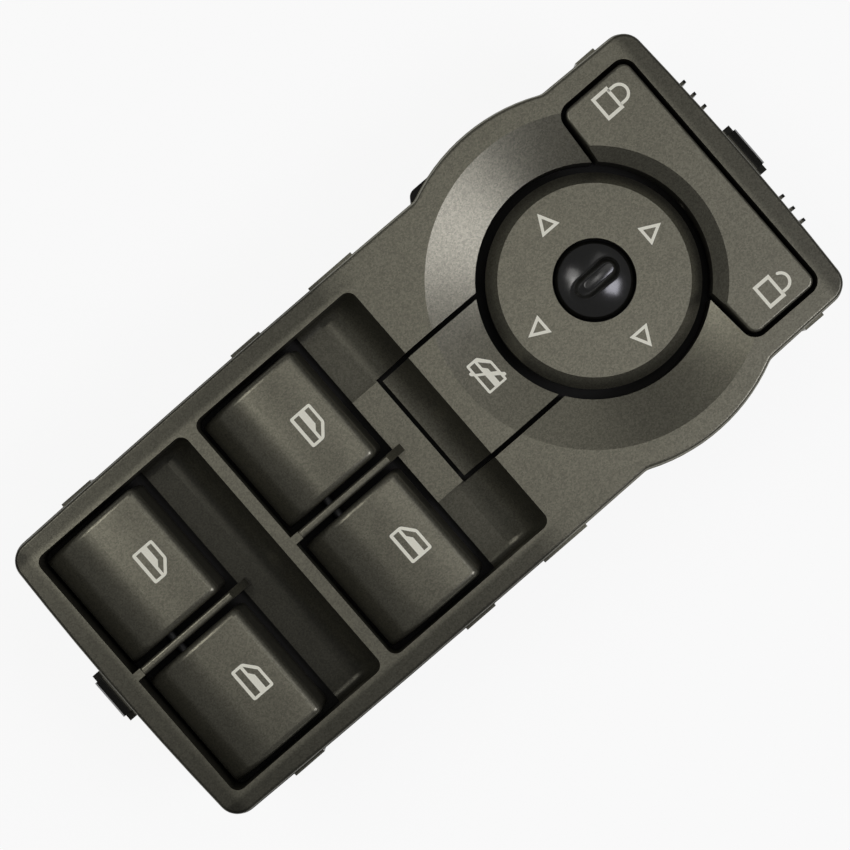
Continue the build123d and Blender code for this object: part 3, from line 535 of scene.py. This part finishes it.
def soft_paint(settings):
    """Warm dark grey paint with fine metal flakes and faint clouds, over black plastic, with painted
    shade in the wells, on the pad's rim and along the plate's border.
    """
    material, tree, principled, place = shader("soft_paint", {"Metallic": settings.metallic})
    flake = flakes(tree, place, settings.grain)
    clouds = noise(tree, place, settings.grain * 40)
    dark = shade(settings.colour, 1 - settings.grain_contrast)
    light = shade(settings.colour, 1 + settings.grain_contrast)
    tint = ramp(tree, flake, dark, light, 0.0, 1.0)
    # The flake tint is dimmed where the paint is bare and where painted shade falls
    share = combine(tree, "MULTIPLY", paint_cover_and_shade(tree, place), spread(tree, clouds, 0.96, 1.04))
    paint_and_shade_tint = tree.nodes.new("ShaderNodeVectorMath")
    paint_and_shade_tint.operation = "SCALE"
    tree.links.new(tint, paint_and_shade_tint.inputs["Vector"])
    tree.links.new(share, paint_and_shade_tint.inputs["Scale"])
    rough = spread(tree, clouds, settings.roughness - 0.01, settings.roughness + 0.01)
    coat(tree, principled, paint_and_shade_tint.outputs["Vector"], rough)
    add_bump(tree, principled, noise(tree, place, settings.grain * 2), settings.grain_depth)
    return material


def fade(tree, value, span, low=0.0):
    """A share that rises from low to 1 between a span's two values of a coordinate."""
    node = tree.nodes.new("ShaderNodeMapRange")
    node.interpolation_type = "SMOOTHSTEP"
    node.inputs["From Min"].default_value = span[0]
    node.inputs["From Max"].default_value = span[1]
    node.inputs["To Min"].default_value = low
    node.inputs["To Max"].default_value = 1.0
    tree.links.new(value, node.inputs["Value"])
    return node.outputs["Result"]


def combine(tree, operation, *values):
    """One number worked out from others, two at a time."""
    result = values[0]
    for value in values[1:]:
        node = tree.nodes.new("ShaderNodeMath")
        node.operation = operation
        tree.links.new(result, node.inputs[0])
        tree.links.new(value, node.inputs[1])
        result = node.outputs["Value"]
    return result


def magnitude(tree, value):
    """A number without its sign."""
    node = tree.nodes.new("ShaderNodeMath")
    node.operation = "ABSOLUTE"
    tree.links.new(value, node.inputs[0])
    return node.outputs["Value"]


def paint_cover_and_shade(tree, place):
    """How much of the paint's colour a spot shows: full on the faces, darkened by painted shade on the
    plate's border, in the wells and on the pad's rim, almost none of the paint on the end clips and
    fins and low on the skirt."""
    axes = tree.nodes.new("ShaderNodeSeparateXYZ")
    tree.links.new(place, axes.inputs["Vector"])
    x, y, z = (axes.outputs[name] for name in "XYZ")
    along, across = magnitude(tree, x), magnitude(tree, y)
    ends = fade(tree, along, END_FADE, BARE_SHARE)
    low = fade(tree, z, FOOT_FADE, BARE_SHARE)
    skirt = combine(tree, "MAXIMUM", low, fade(tree, across, SKIRT_FADE))
    # Painted shade in the deep wells: darker towards their floors, more so in the rear wells
    front_well_shade = fade(tree, z, FRONT_WELL_SHADE_FADE, FRONT_WELL_SHADE_SHARE)
    rear_well_shade = fade(tree, z, REAR_WELL_SHADE_FADE, REAR_WELL_SHADE_SHARE)
    ahead = fade(tree, x, REAR_WELL_SHADE_END_FADE)
    well_shade = combine(tree, "MULTIPLY", front_well_shade, combine(tree, "MAXIMUM", rear_well_shade, ahead))
    # Painted shade on the mirror pad's sloped rim, as a ring round the dial's axis
    offset = tree.nodes.new("ShaderNodeVectorMath")
    offset.operation = "DISTANCE"
    offset.inputs[1].default_value = (DIAL_X * MM, 0.0, 0.0)
    flat = tree.nodes.new("ShaderNodeCombineXYZ")
    tree.links.new(x, flat.inputs["X"])
    tree.links.new(y, flat.inputs["Y"])
    tree.links.new(flat.outputs["Vector"], offset.inputs[0])
    inner = fade(tree, offset.outputs["Value"], RIM_SHADE_INNER_FADE, RIM_SHADE_SHARE)
    rim = combine(tree, "MAXIMUM", inner, fade(tree, offset.outputs["Value"], RIM_SHADE_OUTER_FADE))
    # Painted shade along the plate's ends, and along its long sides only behind the round bulge
    side = fade(tree, across, BORDER_SHADE_SIDE_FADE, BORDER_SHADE_SHARE)
    side = combine(tree, "MAXIMUM", side, fade(tree, x, BULGE_SHADE_FADE))
    end = fade(tree, along, BORDER_SHADE_END_FADE, BORDER_SHADE_SHARE)
    return combine(tree, "MULTIPLY", ends, skirt, well_shade, rim, side, end)


def moulded_plastic(name, colour, roughness, size, depth, gloss=0.5):
    """Moulded plastic with a fine sparked texture."""
    values = {"Metallic": 0.0, "Specular IOR Level": gloss}
    material, tree, principled, place = shader(name, values)
    grain = noise(tree, place, size)
    flow = noise(tree, place, size * 30, 1.0, (3.0, 1.0, 1.0))
    tint = ramp(tree, flow, shade(colour, 0.9), shade(colour, 1.1))
    coat(tree, principled, tint, spread(tree, grain, roughness - 0.05, roughness + 0.05))
    add_bump(tree, principled, grain, depth)
    return material


def metal(name, colour, roughness, stretch):
    """Metal with fine lines drawn along one axis."""
    material, tree, principled, place = shader(name, {"Metallic": 1.0})
    lines = noise(tree, place, 0.15 * MM, 3.0, stretch)
    tint = ramp(tree, lines, shade(colour, 0.85), colour)
    coat(tree, principled, tint, spread(tree, lines, roughness - 0.06, roughness + 0.08))
    add_bump(tree, principled, lines, 0.01 * MM)
    return material


def board_lacquer():
    """Green lacquer with the paler lines of the tracks under it."""
    material, tree, principled, place = shader("board_green", {"Metallic": 0.0})
    mapping = tree.nodes.new("ShaderNodeMapping")
    mapping.inputs["Scale"].default_value = (1.0 / MM, 1.0 / MM, 1.0 / MM)
    tree.links.new(place, mapping.inputs["Vector"])
    tracks = tree.nodes.new("ShaderNodeTexBrick")
    tracks.inputs["Scale"].default_value = 0.25
    tracks.inputs["Mortar Size"].default_value = 0.06
    tracks.inputs["Color1"].default_value = (0.012, 0.105, 0.04, 1.0)
    tracks.inputs["Color2"].default_value = (0.014, 0.12, 0.046, 1.0)
    tracks.inputs["Mortar"].default_value = (0.04, 0.22, 0.08, 1.0)
    tree.links.new(mapping.outputs["Vector"], tracks.inputs["Vector"])
    grain = noise(tree, place, 0.3 * MM)
    coat(tree, principled, tracks.outputs["Color"], spread(tree, grain, 0.24, 0.36))
    add_bump(tree, principled, tracks.outputs["Fac"], 0.03 * MM)
    return material


def clear_acrylic():
    """Clear polished acrylic with faint flow lines."""
    values = {"Metallic": 0.0, "Transmission Weight": 1.0, "IOR": 1.49}
    material, tree, principled, place = shader("clear_plastic", values)
    flow = noise(tree, place, 0.6 * MM, 2.0, (1.0, 1.0, 5.0))
    tint = ramp(tree, flow, (0.82, 0.86, 0.86), (0.9, 0.93, 0.93))
    coat(tree, principled, tint, spread(tree, flow, 0.04, 0.12))
    return material


def lamp_body():
    """White lamp body, mottled with yellow phosphor."""
    material, tree, principled, place = shader("lamp_white", {"Metallic": 0.0})
    grain = noise(tree, place, 0.4 * MM)
    tint = ramp(tree, grain, (0.8, 0.72, 0.36), (0.85, 0.85, 0.8))
    coat(tree, principled, tint, spread(tree, grain, 0.25, 0.35))
    return material


def ink(settings):
    """Pale printed ink, slightly uneven."""
    material, tree, principled, place = shader("pictogram_ink", {"Metallic": 0.0})
    grain = noise(tree, place, 0.2 * MM)
    tint = ramp(tree, grain, shade(settings.colour, 0.94), shade(settings.colour, 1.05))
    coat(tree, principled, tint, spread(tree, grain, 0.5, 0.62))
    add_bump(tree, principled, grain, 0.01 * MM)
    return material


def knob_plastic(roughness):
    """Smooth satin black with a breath of texture."""
    material, tree, principled, place = shader("satin_black", {"Metallic": 0.0, "IOR": 1.75})
    grain = noise(tree, place, 0.3 * MM)
    tint = ramp(tree, grain, (0.004, 0.004, 0.0035), (0.007, 0.007, 0.006))
    coat(tree, principled, tint, spread(tree, grain, roughness - 0.03, roughness + 0.03))
    add_bump(tree, principled, grain, 0.004 * MM)
    return material


def paint_node(name, material):
    """Gives a carried-over piece its finish."""
    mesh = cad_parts[name].data
    mesh.materials.clear()
    mesh.materials.append(material)


def place_object(name, data):
    """A new object in the scene."""
    item = bpy.data.objects.new(name, data)
    bpy.context.collection.objects.link(item)
    return item


def closed_mesh(bm, name):
    """A mesh from a closed form, its faces turned outwards."""
    bmesh.ops.recalc_face_normals(bm, faces=bm.faces)
    mesh = bpy.data.meshes.new(name)
    bm.to_mesh(mesh)
    bm.free()
    return mesh


def join_rings(bm, rings):
    """Faces from each ring of points to the next."""
    for one, other in zip(rings, rings[1:]):
        for k, point in enumerate(one):
            n = (k + 1) % len(one)
            bm.faces.new((point, other[k], other[n], one[n]))


def round_corners(points, radius, keep=()):
    """A closed outline with its corners rounded, apart from those whose numbers are kept sharp."""
    rounded = []
    count = len(points)
    for i, point in enumerate(points):
        here = Vector(point)
        if i in keep:
            rounded.append(here)
            continue
        before = Vector(points[i - 1]) - here
        after = Vector(points[(i + 1) % count]) - here
        reach = min(radius, before.length * CORNER_SHARE, after.length * CORNER_SHARE)
        start = here + before.normalized() * reach
        end = here + after.normalized() * reach
        for k in range(CORNER_POINTS):
            t = k / (CORNER_POINTS - 1)
            rounded.append(start * (1 - t) ** 2 + here * 2 * t * (1 - t) + end * t**2)
    return rounded


def surface_under(name):
    """A finder of the height of a carried-over piece's top face under a point."""
    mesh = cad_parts[name].data
    tree = BVHTree.FromPolygons([v.co for v in mesh.vertices], [p.vertices for p in mesh.polygons])

    def height(x, y):
        hit = tree.ray_cast(Vector((x, y, ABOVE_ALL)), Vector((0, 0, -1)))
        if hit[0] is None:
            raise RuntimeError(f"no face of {name} under {x * 1000:.1f}, {y * 1000:.1f}")
        return hit[0].z

    return height


def print_shape(name, outlines, centre, node, settings):
    """A thin printed shape with holes, laid on the face below it."""
    bm = bmesh.new()
    edges = []
    for outline in outlines:
        points = [((x + centre[0]) * MM, (y + centre[1]) * MM, 0.0) for x, y in outline]
        corners = [bm.verts.new(point) for point in points]
        edges += [bm.edges.new((a, b)) for a, b in zip(corners, corners[1:] + corners[:1])]
    bmesh.ops.triangle_fill(bm, use_beauty=True, use_dissolve=False, edges=edges)
    for _ in range(6):
        long_edges = [e for e in bm.edges if e.calc_length() > settings.step]
        if not long_edges:
            break
        bmesh.ops.subdivide_edges(bm, edges=long_edges, cuts=1)
        bmesh.ops.triangulate(bm, faces=bm.faces)
    height = surface_under(node)
    for vertex in bm.verts:
        vertex.co.z = height(vertex.co.x, vertex.co.y) - settings.thickness / 3
    top = bmesh.ops.extrude_face_region(bm, geom=list(bm.faces))
    for item in top["geom"]:
        if isinstance(item, bmesh.types.BMVert):
            item.co.z += settings.thickness * 4 / 3
    piece = place_object(name, closed_mesh(bm, name))
    piece.data.materials.append(shared_ink(settings))
    return piece


def shared_ink(settings):
    """The one ink that every pictogram is printed in."""
    return bpy.data.materials.get("pictogram_ink") or ink(settings)


def box_outline(half):
    """A rectangle's four corners."""
    x, y = half
    return [(-x, -y), (x, -y), (x, y), (-x, y)]


def stroke_outline(path, width):
    """The outline of a line of one width with a round end."""
    left, right = [], []
    for i, point in enumerate(path):
        here = Vector(point)
        before = Vector(path[max(i - 1, 0)])
        after = Vector(path[min(i + 1, len(path) - 1)])
        along = (after - before).normalized()
        side = Vector((-along.y, along.x)) * width / 2
        left.append(here + side)
        right.append(here - side)
    tip = Vector(path[-1])
    along = (tip - Vector(path[-2])).normalized()
    side = Vector((-along.y, along.x)) * width / 2
    ahead = along * width / 2
    cap = [tip + side * math.cos(a) + ahead * math.sin(a) for a in CAP_ANGLES]
    return left + cap + right[::-1]


def arc_points(centre, radius, start, end, steps=14):
    """Points along an arc, with its angles in degrees."""
    points = []
    for i in range(steps + 1):
        angle = math.radians(start + (end - start) * i / steps)
        points.append((centre[0] + radius * math.cos(angle), centre[1] + radius * math.sin(angle)))
    return points


def stadium_distance(x, y, centre, length, width):
    """How far a point lies outside a round-ended bar along X, negative inside."""
    return math.hypot(max(abs(x - centre) - (length - width) / 2, 0.0), y) - width / 2


def knob_height(x, y, settings):
    """Height of the knob's top over its dome and finger bar, in millimetres."""
    distance = min(math.hypot(x, y), DOME_CAP)
    dome = DOME_TOP - DOME_RADIUS + math.sqrt(DOME_RADIUS**2 - distance**2)
    from_land = max(0.0, stadium_distance(x, y, LAND_OFFSET, LAND_LENGTH, LAND_WIDTH))
    to_foot = -stadium_distance(x, y, 0.0, settings.bar_length / MM, settings.bar_width / MM)
    share = from_land / (from_land + to_foot) if to_foot > 0 else 1.0 - to_foot
    crown = LAND_CROWN_ALONG * (x - LAND_OFFSET) ** 2 + LAND_CROWN_ACROSS * y**2
    bar = BAR_TOP - crown - BAR_DROP * share**BAR_FLARE
    blend = settings.blend / MM
    mix = max(blend - abs(dome - bar), 0.0) / blend
    return max(dome, bar) + mix * mix * blend / 4


def knob_ring(bm, radius, height):
    """A ring of points round the knob's middle, each at the height that a function gives."""
    ring = []
    for k in range(KNOB_SIDES):
        angle = 2 * math.pi * k / KNOB_SIDES
        x, y = radius * math.cos(angle), radius * math.sin(angle)
        ring.append(bm.verts.new(((DIAL_X + x) * MM, y * MM, height(x, y) * MM)))
    return ring


def knob_mesh(settings):
    """A closed mesh: domed top with its bar, rounded rim, hub and shaft."""
    bm = bmesh.new()
    crown = bm.verts.new((DIAL_X * MM, 0.0, knob_height(0, 0, settings) * MM))
    rings = []
    for i in range(1, KNOB_RINGS + 1):
        radius = DOME_CAP * i / KNOB_RINGS
        rings.append(knob_ring(bm, radius, lambda x, y: knob_height(x, y, settings)))
    cap_angle = math.asin(DOME_CAP / DOME_RADIUS)
    cap_z = DOME_TOP - DOME_RADIUS * (1 - math.cos(cap_angle))
    shoulder = (KNOB_RADIUS - DOME_CAP) / (1 - math.sin(cap_angle))
    below = []
    for i in range(1, SHOULDER_RINGS + 1):
        angle = cap_angle + (math.pi / 2 - cap_angle) * i / SHOULDER_RINGS
        radius = DOME_CAP + shoulder * (math.sin(angle) - math.sin(cap_angle))
        below.append((radius, cap_z - shoulder * (math.cos(cap_angle) - math.cos(angle))))
    for radius, level in (*below, *KNOB_SHAFT):
        rings.append(knob_ring(bm, radius, lambda x, y, z=level: z))
    for k in range(KNOB_SIDES):
        bm.faces.new((crown, rings[0][k], rings[0][(k + 1) % KNOB_SIDES]))
    join_rings(bm, rings)
    bm.faces.new(rings[-1][::-1])
    for face in bm.faces:
        face.smooth = True
    mesh = closed_mesh(bm, "selector_knob")
    mesh.set_sharp_from_angle(angle=KNOB_CREASE)
    return mesh


def spring_mesh(low, high):
    """A closed coil of round wire that fills a box from its lowest to its highest corner."""
    centre = (low + high) / 2
    radius = (high.x - low.x - SPRING_WIRE) / 2
    rise = high.z - low.z - SPRING_WIRE
    length = 2 * math.pi * radius * SPRING_TURNS
    bm = bmesh.new()
    rings = []
    for i in range(SPRING_STEPS + 1):
        share = i / SPRING_STEPS
        turn = 2 * math.pi * SPRING_TURNS * share
        out = Vector((math.cos(turn), math.sin(turn), 0.0))
        along = Vector((-math.sin(turn) * length, math.cos(turn) * length, rise))
        up = out.cross(along.normalized())
        level = low.z + SPRING_WIRE / 2 + rise * share
        middle = Vector((centre.x, centre.y, level)) + out * radius
        ring = []
        for k in range(SPRING_SIDES):
            angle = 2 * math.pi * k / SPRING_SIDES
            offset = out * math.cos(angle) + up * math.sin(angle)
            ring.append(bm.verts.new(middle + offset * SPRING_WIRE / 2))
        rings.append(ring)
    join_rings(bm, rings)
    bm.faces.new(rings[0][::-1])
    bm.faces.new(rings[-1])
    for face in bm.faces:
        face.smooth = len(face.verts) == 4
    return closed_mesh(bm, "coil_spring")


def softbox(name, power, colour, size, distance, lean, azimuth, centre):
    """A rectangular lamp that leans from the upright towards an azimuth and faces the object."""
    lamp = bpy.data.lights.new(name, "AREA")
    lamp.shape = "RECTANGLE"
    lamp.size, lamp.size_y = size
    lamp.energy = power
    lamp.color = colour
    side = math.sin(lean)
    away = Vector((side * math.cos(azimuth), side * math.sin(azimuth), math.cos(lean)))
    holder = place_object(name, lamp)
    holder.location = centre + away * distance
    holder.rotation_euler = away.to_track_quat("Z", "Y").to_euler()


class WINDOWSWITCH_OT_paint_faces(bpy.types.Operator):
    """Paint the bezel, paddles, lockout button, lock rocker and mirror pad"""

    bl_idname = "window_switch.paint_faces"
    bl_label = "Paint the faces"

    def execute(self, context):
        material = soft_paint(context.scene.switch_paint)
        for name in PAINTED:
            paint_node(name, material)
        return {"FINISHED"}


class WINDOWSWITCH_OT_mould_plastics(bpy.types.Operator):
    """Finish the black housing, cover, socket and gimbal, and the white sliders and wiper"""

    bl_idname = "window_switch.mould_plastics"
    bl_label = "Finish the moulded plastics"

    def execute(self, context):
        tint = (0.008, 0.0075, 0.0065)
        black = moulded_plastic("black_plastic", tint, 0.6, 0.3 * MM, 0.01 * MM, 0.25)
        for name in BLACK_MOULDED:
            paint_node(name, black)
        tint = (0.72, 0.71, 0.67)
        white = moulded_plastic("white_plastic", tint, 0.4, 0.5 * MM, 0.01 * MM)
        for name in WHITE_MOULDED:
            paint_node(name, white)
        return {"FINISHED"}


class WINDOWSWITCH_OT_finish_electrics(bpy.types.Operator):
    """Finish the board, pins, push switches, lamps and light guides"""

    bl_idname = "window_switch.finish_electrics"
    bl_label = "Finish the electrical parts"

    def execute(self, context):
        paint_node("circuit_board", board_lacquer())
        pins = metal("tinned_pins", (0.75, 0.72, 0.65), 0.28, (1.0, 1.0, 12.0))
        paint_node("connector_pins", pins)
        switches = moulded_plastic("switch_black", (0.03, 0.03, 0.03), 0.42, 0.2 * MM, 0.01 * MM)
        paint_node("push_switches", switches)
        paint_node("lamps", lamp_body())
        paint_node("light_guides", clear_acrylic())
        return {"FINISHED"}


class WINDOWSWITCH_OT_finish_metal(bpy.types.Operator):
    """Finish the screws, and the axles in nearly black steel as painted shade in the gaps"""

    bl_idname = "window_switch.finish_metal"
    bl_label = "Finish the metal parts"

    def execute(self, context):
        paint_node("cover_screws", metal("zinc_steel", (0.62, 0.62, 0.6), 0.32, (1.0, 8.0, 1.0)))
        # Nearly black steel on the axles is painted shade: it keeps their ends as dark as the shaded
        # gaps where they show
        dark = metal("black_zinc_steel", (0.05, 0.05, 0.052), 0.42, (1.0, 8.0, 1.0))
        for name in AXLES:
            paint_node(name, dark)
        return {"FINISHED"}


class WINDOWSWITCH_OT_coil_spring(bpy.types.Operator):
    """Coil the lockout spring"""

    bl_idname = "window_switch.coil_spring"
    bl_label = "Coil the lockout spring"

    def execute(self, context):
        material = metal("spring_steel", (0.45, 0.45, 0.45), 0.3, (6.0, 6.0, 1.0))
        paint_node("lockout_spring", material)
        low, high = (Vector(corner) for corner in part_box("lockout_spring"))
        mesh = spring_mesh(low, high)
        mesh.materials.append(material)
        spring = place_object("coil_spring", mesh)
        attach(spring, "housing")
        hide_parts("lockout_spring")
        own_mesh(spring)
        return {"FINISHED"}


class WINDOWSWITCH_OT_print_windows(bpy.types.Operator):
    """Print the window pictogram on each paddle"""

    bl_idname = "window_switch.print_windows"
    bl_label = "Print the window pictograms"

    def execute(self, context):
        settings = context.scene.switch_print
        for body, centre in WINDOW_ICON_PLACES.items():
            hand = -1 if body.endswith("left") else 1
            frame_outline = round_corners(WINDOW_FRAME, WINDOW_ROUND)
            shapes = (frame_outline, WINDOW_LEFT_SLOT, WINDOW_RIGHT_SLOT)
            shapes = [[(x, y * hand) for x, y in shape] for shape in shapes]
            name = f"{body}_window_print"
            piece = print_shape(name, shapes, centre, f"{body}_paddle", settings)
            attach(piece, body)
        return {"FINISHED"}


class WINDOWSWITCH_OT_print_lockout(bpy.types.Operator):
    """Print the struck-out window pictogram on the lockout button"""

    bl_idname = "window_switch.print_lockout"
    bl_label = "Print the lockout pictogram"

    def execute(self, context):
        settings = context.scene.switch_print
        outline = round_corners(LOCKOUT_FRAME, LOCKOUT_ROUND, LOCKOUT_SHARP)
        shapes = [outline, *LOCKOUT_SLOTS]
        centre = LOCKOUT_ICON_CENTRE
        piece = print_shape("lockout_print", shapes, centre, "lockout_button", settings)
        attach(piece, "lockout")
        return {"FINISHED"}


class WINDOWSWITCH_OT_print_locks(bpy.types.Operator):
    """Print the closed and the open padlock on the lock rocker"""

    bl_idname = "window_switch.print_locks"
    bl_label = "Print the padlock pictograms"

    def execute(self, context):
        settings = context.scene.switch_print
        foot = LOCK_BODY_HALF[0] - LOCK_OVERLAP
        reach, radius = CLOSED_SHACKLE
        closed_path = [(foot, -radius), (reach, -radius)]
        closed_path += arc_points((reach, 0.0), radius, -90, 90) + [(foot, radius)]
        reach, radius = OPEN_SHACKLE
        opened_path = [(foot, -radius), (reach, -radius)]
        opened_path += arc_points((reach, 0.0), radius, -90, OPEN_SHACKLE_END)
        locks = (
            ("closed_lock_print", CLOSED_LOCK_PLACE, closed_path),
            ("open_lock_print", OPEN_LOCK_PLACE, opened_path),
        )
        for name, centre, path in locks:
            body = [box_outline(LOCK_BODY_HALF), box_outline(LOCK_HOLE_HALF)]
            piece = print_shape(name, body, centre, "lock_rocker", settings)
            shackle = print_shape(
                name.replace("lock_print", "shackle_print"),
                [stroke_outline(path, LOCK_STROKE)],
                centre,
                "lock_rocker",
                settings,
            )
            for item in (piece, shackle):
                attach(item, "rocker")
        return {"FINISHED"}


class WINDOWSWITCH_OT_print_arrows(bpy.types.Operator):
    """Print the four arrow outlines on the mirror pad"""

    bl_idname = "window_switch.print_arrows"
    bl_label = "Print the mirror arrows"

    def execute(self, context):
        settings = context.scene.switch_print
        outer = [(ARROW_TIP, 0.0), (ARROW_BASE, ARROW_HALF_BASE), (ARROW_BASE, -ARROW_HALF_BASE)]
        slope = math.hypot(ARROW_TIP - ARROW_BASE, ARROW_HALF_BASE)
        tip_step = ARROW_STROKE * slope / ARROW_HALF_BASE
        inner_base = ARROW_BASE + ARROW_STROKE
        inner_tip = ARROW_TIP - tip_step
        inner_half = (inner_tip - inner_base) * ARROW_HALF_BASE / (ARROW_TIP - ARROW_BASE)
        inner = [(inner_tip, 0.0), (inner_base, inner_half), (inner_base, -inner_half)]
        names = ("right_arrow_print", "left_arrow_print", "back_arrow_print", "front_arrow_print")
        turns = ((1, 0), (0, 1), (-1, 0), (0, -1))
        for name, (c, s) in zip(names, turns):
            shapes = []
            for outline in (round_corners(outer, ARROW_ROUND), inner):
                shapes.append([(x * c - y * s, x * s + y * c) for x, y in outline])
            piece = print_shape(name, shapes, (DIAL_X, 0.0), "mirror_pad", settings)
            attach(piece, "pad")
        return {"FINISHED"}


class WINDOWSWITCH_OT_shape_knob(bpy.types.Operator):
    """Shape the selector knob with its dome and finger bar"""

    bl_idname = "window_switch.shape_knob"
    bl_label = "Shape the selector knob"

    def execute(self, context):
        settings = context.scene.switch_knob
        material = knob_plastic(settings.roughness)
        paint_node("mirror_selector", material)
        mesh = knob_mesh(settings)
        mesh.materials.append(material)
        knob = place_object("selector_knob", mesh)
        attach(knob, "selector")
        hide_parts("mirror_selector")
        return {"FINISHED"}


class WINDOWSWITCH_OT_light_studio(bpy.types.Operator):
    """Set up the pale floor, the lamps and the camera"""

    bl_idname = "window_switch.light_studio"
    bl_label = "Light the studio"

    def execute(self, context):
        settings = context.scene.switch_studio
        build_floor()
        build_world(settings.ambient)
        centre = Vector((settings.aim[0], settings.aim[1], FACE_Z))
        for name, width, depth, distance, lean, azimuth in LAMPS:
            power = getattr(settings, name)
            place = (distance, math.radians(lean), math.radians(azimuth))
            colour = COOL_LIGHT if name == COOL_LAMP else PLAIN_LIGHT
            softbox(name, power, colour, (width, depth), *place, centre)
        place_camera(settings)
        return {"FINISHED"}


def build_floor():
    """A wide white floor that shows white to the camera and keeps the object's shadow."""
    mesh = bpy.data.meshes.new("floor")
    corners = [(x, y, FLOOR_Z) for x, y in box_outline((FLOOR_REACH, FLOOR_REACH))]
    mesh.from_pydata(corners, [], [(0, 1, 2, 3)])
    floor = place_object("floor", mesh)
    material = bpy.data.materials.new("floor_white")
    material.use_nodes = True
    tree = material.node_tree
    tree.nodes.clear()
    output = tree.nodes.new("ShaderNodeOutputMaterial")
    diffuse = tree.nodes.new("ShaderNodeBsdfDiffuse")
    diffuse.inputs["Color"].default_value = (0.9, 0.9, 0.9, 1.0)
    glow = tree.nodes.new("ShaderNodeEmission")
    glow.inputs["Color"].default_value = (1.0, 1.0, 1.0, 1.0)
    glow.inputs["Strength"].default_value = 1.0
    rays = tree.nodes.new("ShaderNodeLightPath")
    seen = tree.nodes.new("ShaderNodeMath")
    seen.operation = "ADD"
    tree.links.new(rays.outputs["Is Camera Ray"], seen.inputs[0])
    tree.links.new(rays.outputs["Is Glossy Ray"], seen.inputs[1])
    through = tree.nodes.new("ShaderNodeMath")
    through.operation = "ADD"
    through.use_clamp = True
    tree.links.new(seen.outputs["Value"], through.inputs[0])
    tree.links.new(rays.outputs["Is Transmission Ray"], through.inputs[1])
    share = tree.nodes.new("ShaderNodeMath")
    share.operation = "MULTIPLY"
    share.inputs[1].default_value = FLOOR_GLOW
    tree.links.new(through.outputs["Value"], share.inputs[0])
    mix = tree.nodes.new("ShaderNodeMixShader")
    tree.links.new(share.outputs["Value"], mix.inputs["Fac"])
    tree.links.new(diffuse.outputs["BSDF"], mix.inputs[1])
    tree.links.new(glow.outputs["Emission"], mix.inputs[2])
    tree.links.new(mix.outputs["Shader"], output.inputs["Surface"])
    mesh.materials.append(material)


def build_world(strength):
    """An even grey light from all round."""
    world = bpy.data.worlds.new("studio")
    world.use_nodes = True
    background = world.node_tree.nodes["Background"]
    background.inputs["Color"].default_value = (1.0, 1.0, 1.0, 1.0)
    background.inputs["Strength"].default_value = strength
    bpy.context.scene.world = world


def place_camera(settings):
    """The camera looks straight down, turned as the picture is."""
    camera = bpy.data.cameras.new("camera")
    camera.sensor_width = SENSOR_WIDTH
    camera.lens = SENSOR_WIDTH * (settings.height - FACE_Z) / settings.view_width
    camera.clip_start = 0.01
    camera.clip_end = 100.0
    holder = place_object("camera", camera)
    holder.location = (settings.aim[0], settings.aim[1], settings.height)
    holder.rotation_euler = (0.0, 0.0, settings.turn)
    bpy.context.scene.camera = holder
    bpy.context.scene.view_settings.view_transform = "Standard"


class WINDOWSWITCH_PT_panel(bpy.types.Panel):
    """Sizes, finishes and steps of the window switch"""

    bl_idname = "WINDOWSWITCH_PT_panel"
    bl_label = "Window switch"
    bl_space_type = "VIEW_3D"
    bl_region_type = "UI"
    bl_category = "Window Switch"

    def draw(self, context):
        layout = self.layout
        for name, group in SETTING_GROUPS:
            box = layout.box()
            box.label(text=group.__doc__)
            settings = getattr(context.scene, name)
            for item in group.__annotations__:
                box.prop(settings, item)
        for operator in OPERATORS:
            layout.operator(operator.bl_idname)


SETTING_GROUPS = (
    ("switch_paint", PaintSettings),
    ("switch_print", PrintSettings),
    ("switch_knob", KnobSettings),
    ("switch_studio", StudioSettings),
)
OPERATORS = (
    WINDOWSWITCH_OT_paint_faces,
    WINDOWSWITCH_OT_mould_plastics,
    WINDOWSWITCH_OT_finish_electrics,
    WINDOWSWITCH_OT_finish_metal,
    WINDOWSWITCH_OT_coil_spring,
    WINDOWSWITCH_OT_print_windows,
    WINDOWSWITCH_OT_print_lockout,
    WINDOWSWITCH_OT_print_locks,
    WINDOWSWITCH_OT_print_arrows,
    WINDOWSWITCH_OT_shape_knob,
    WINDOWSWITCH_OT_light_studio,
)


def register():
    """Adds the settings, operators and panel to Blender."""
    for name, group in SETTING_GROUPS:
        bpy.utils.register_class(group)
        setattr(bpy.types.Scene, name, bpy.props.PointerProperty(type=group))
    for operator in OPERATORS:
        bpy.utils.register_class(operator)
    bpy.utils.register_class(WINDOWSWITCH_PT_panel)


def unregister():
    """Takes them out again."""
    bpy.utils.unregister_class(WINDOWSWITCH_PT_panel)
    for operator in reversed(OPERATORS):
        bpy.utils.unregister_class(operator)
    for name, group in reversed(SETTING_GROUPS):
        delattr(bpy.types.Scene, name)
        bpy.utils.unregister_class(group)


def main():
    """Runs every step in order."""
    register()
    bpy.ops.window_switch.paint_faces()
    bpy.ops.window_switch.mould_plastics()
    bpy.ops.window_switch.finish_electrics()
    bpy.ops.window_switch.finish_metal()
    bpy.ops.window_switch.coil_spring()
    bpy.ops.window_switch.print_windows()
    bpy.ops.window_switch.print_lockout()
    bpy.ops.window_switch.print_locks()
    bpy.ops.window_switch.print_arrows()
    bpy.ops.window_switch.shape_knob()
    bpy.ops.window_switch.light_studio()


if __name__ == "__main__":
    main()
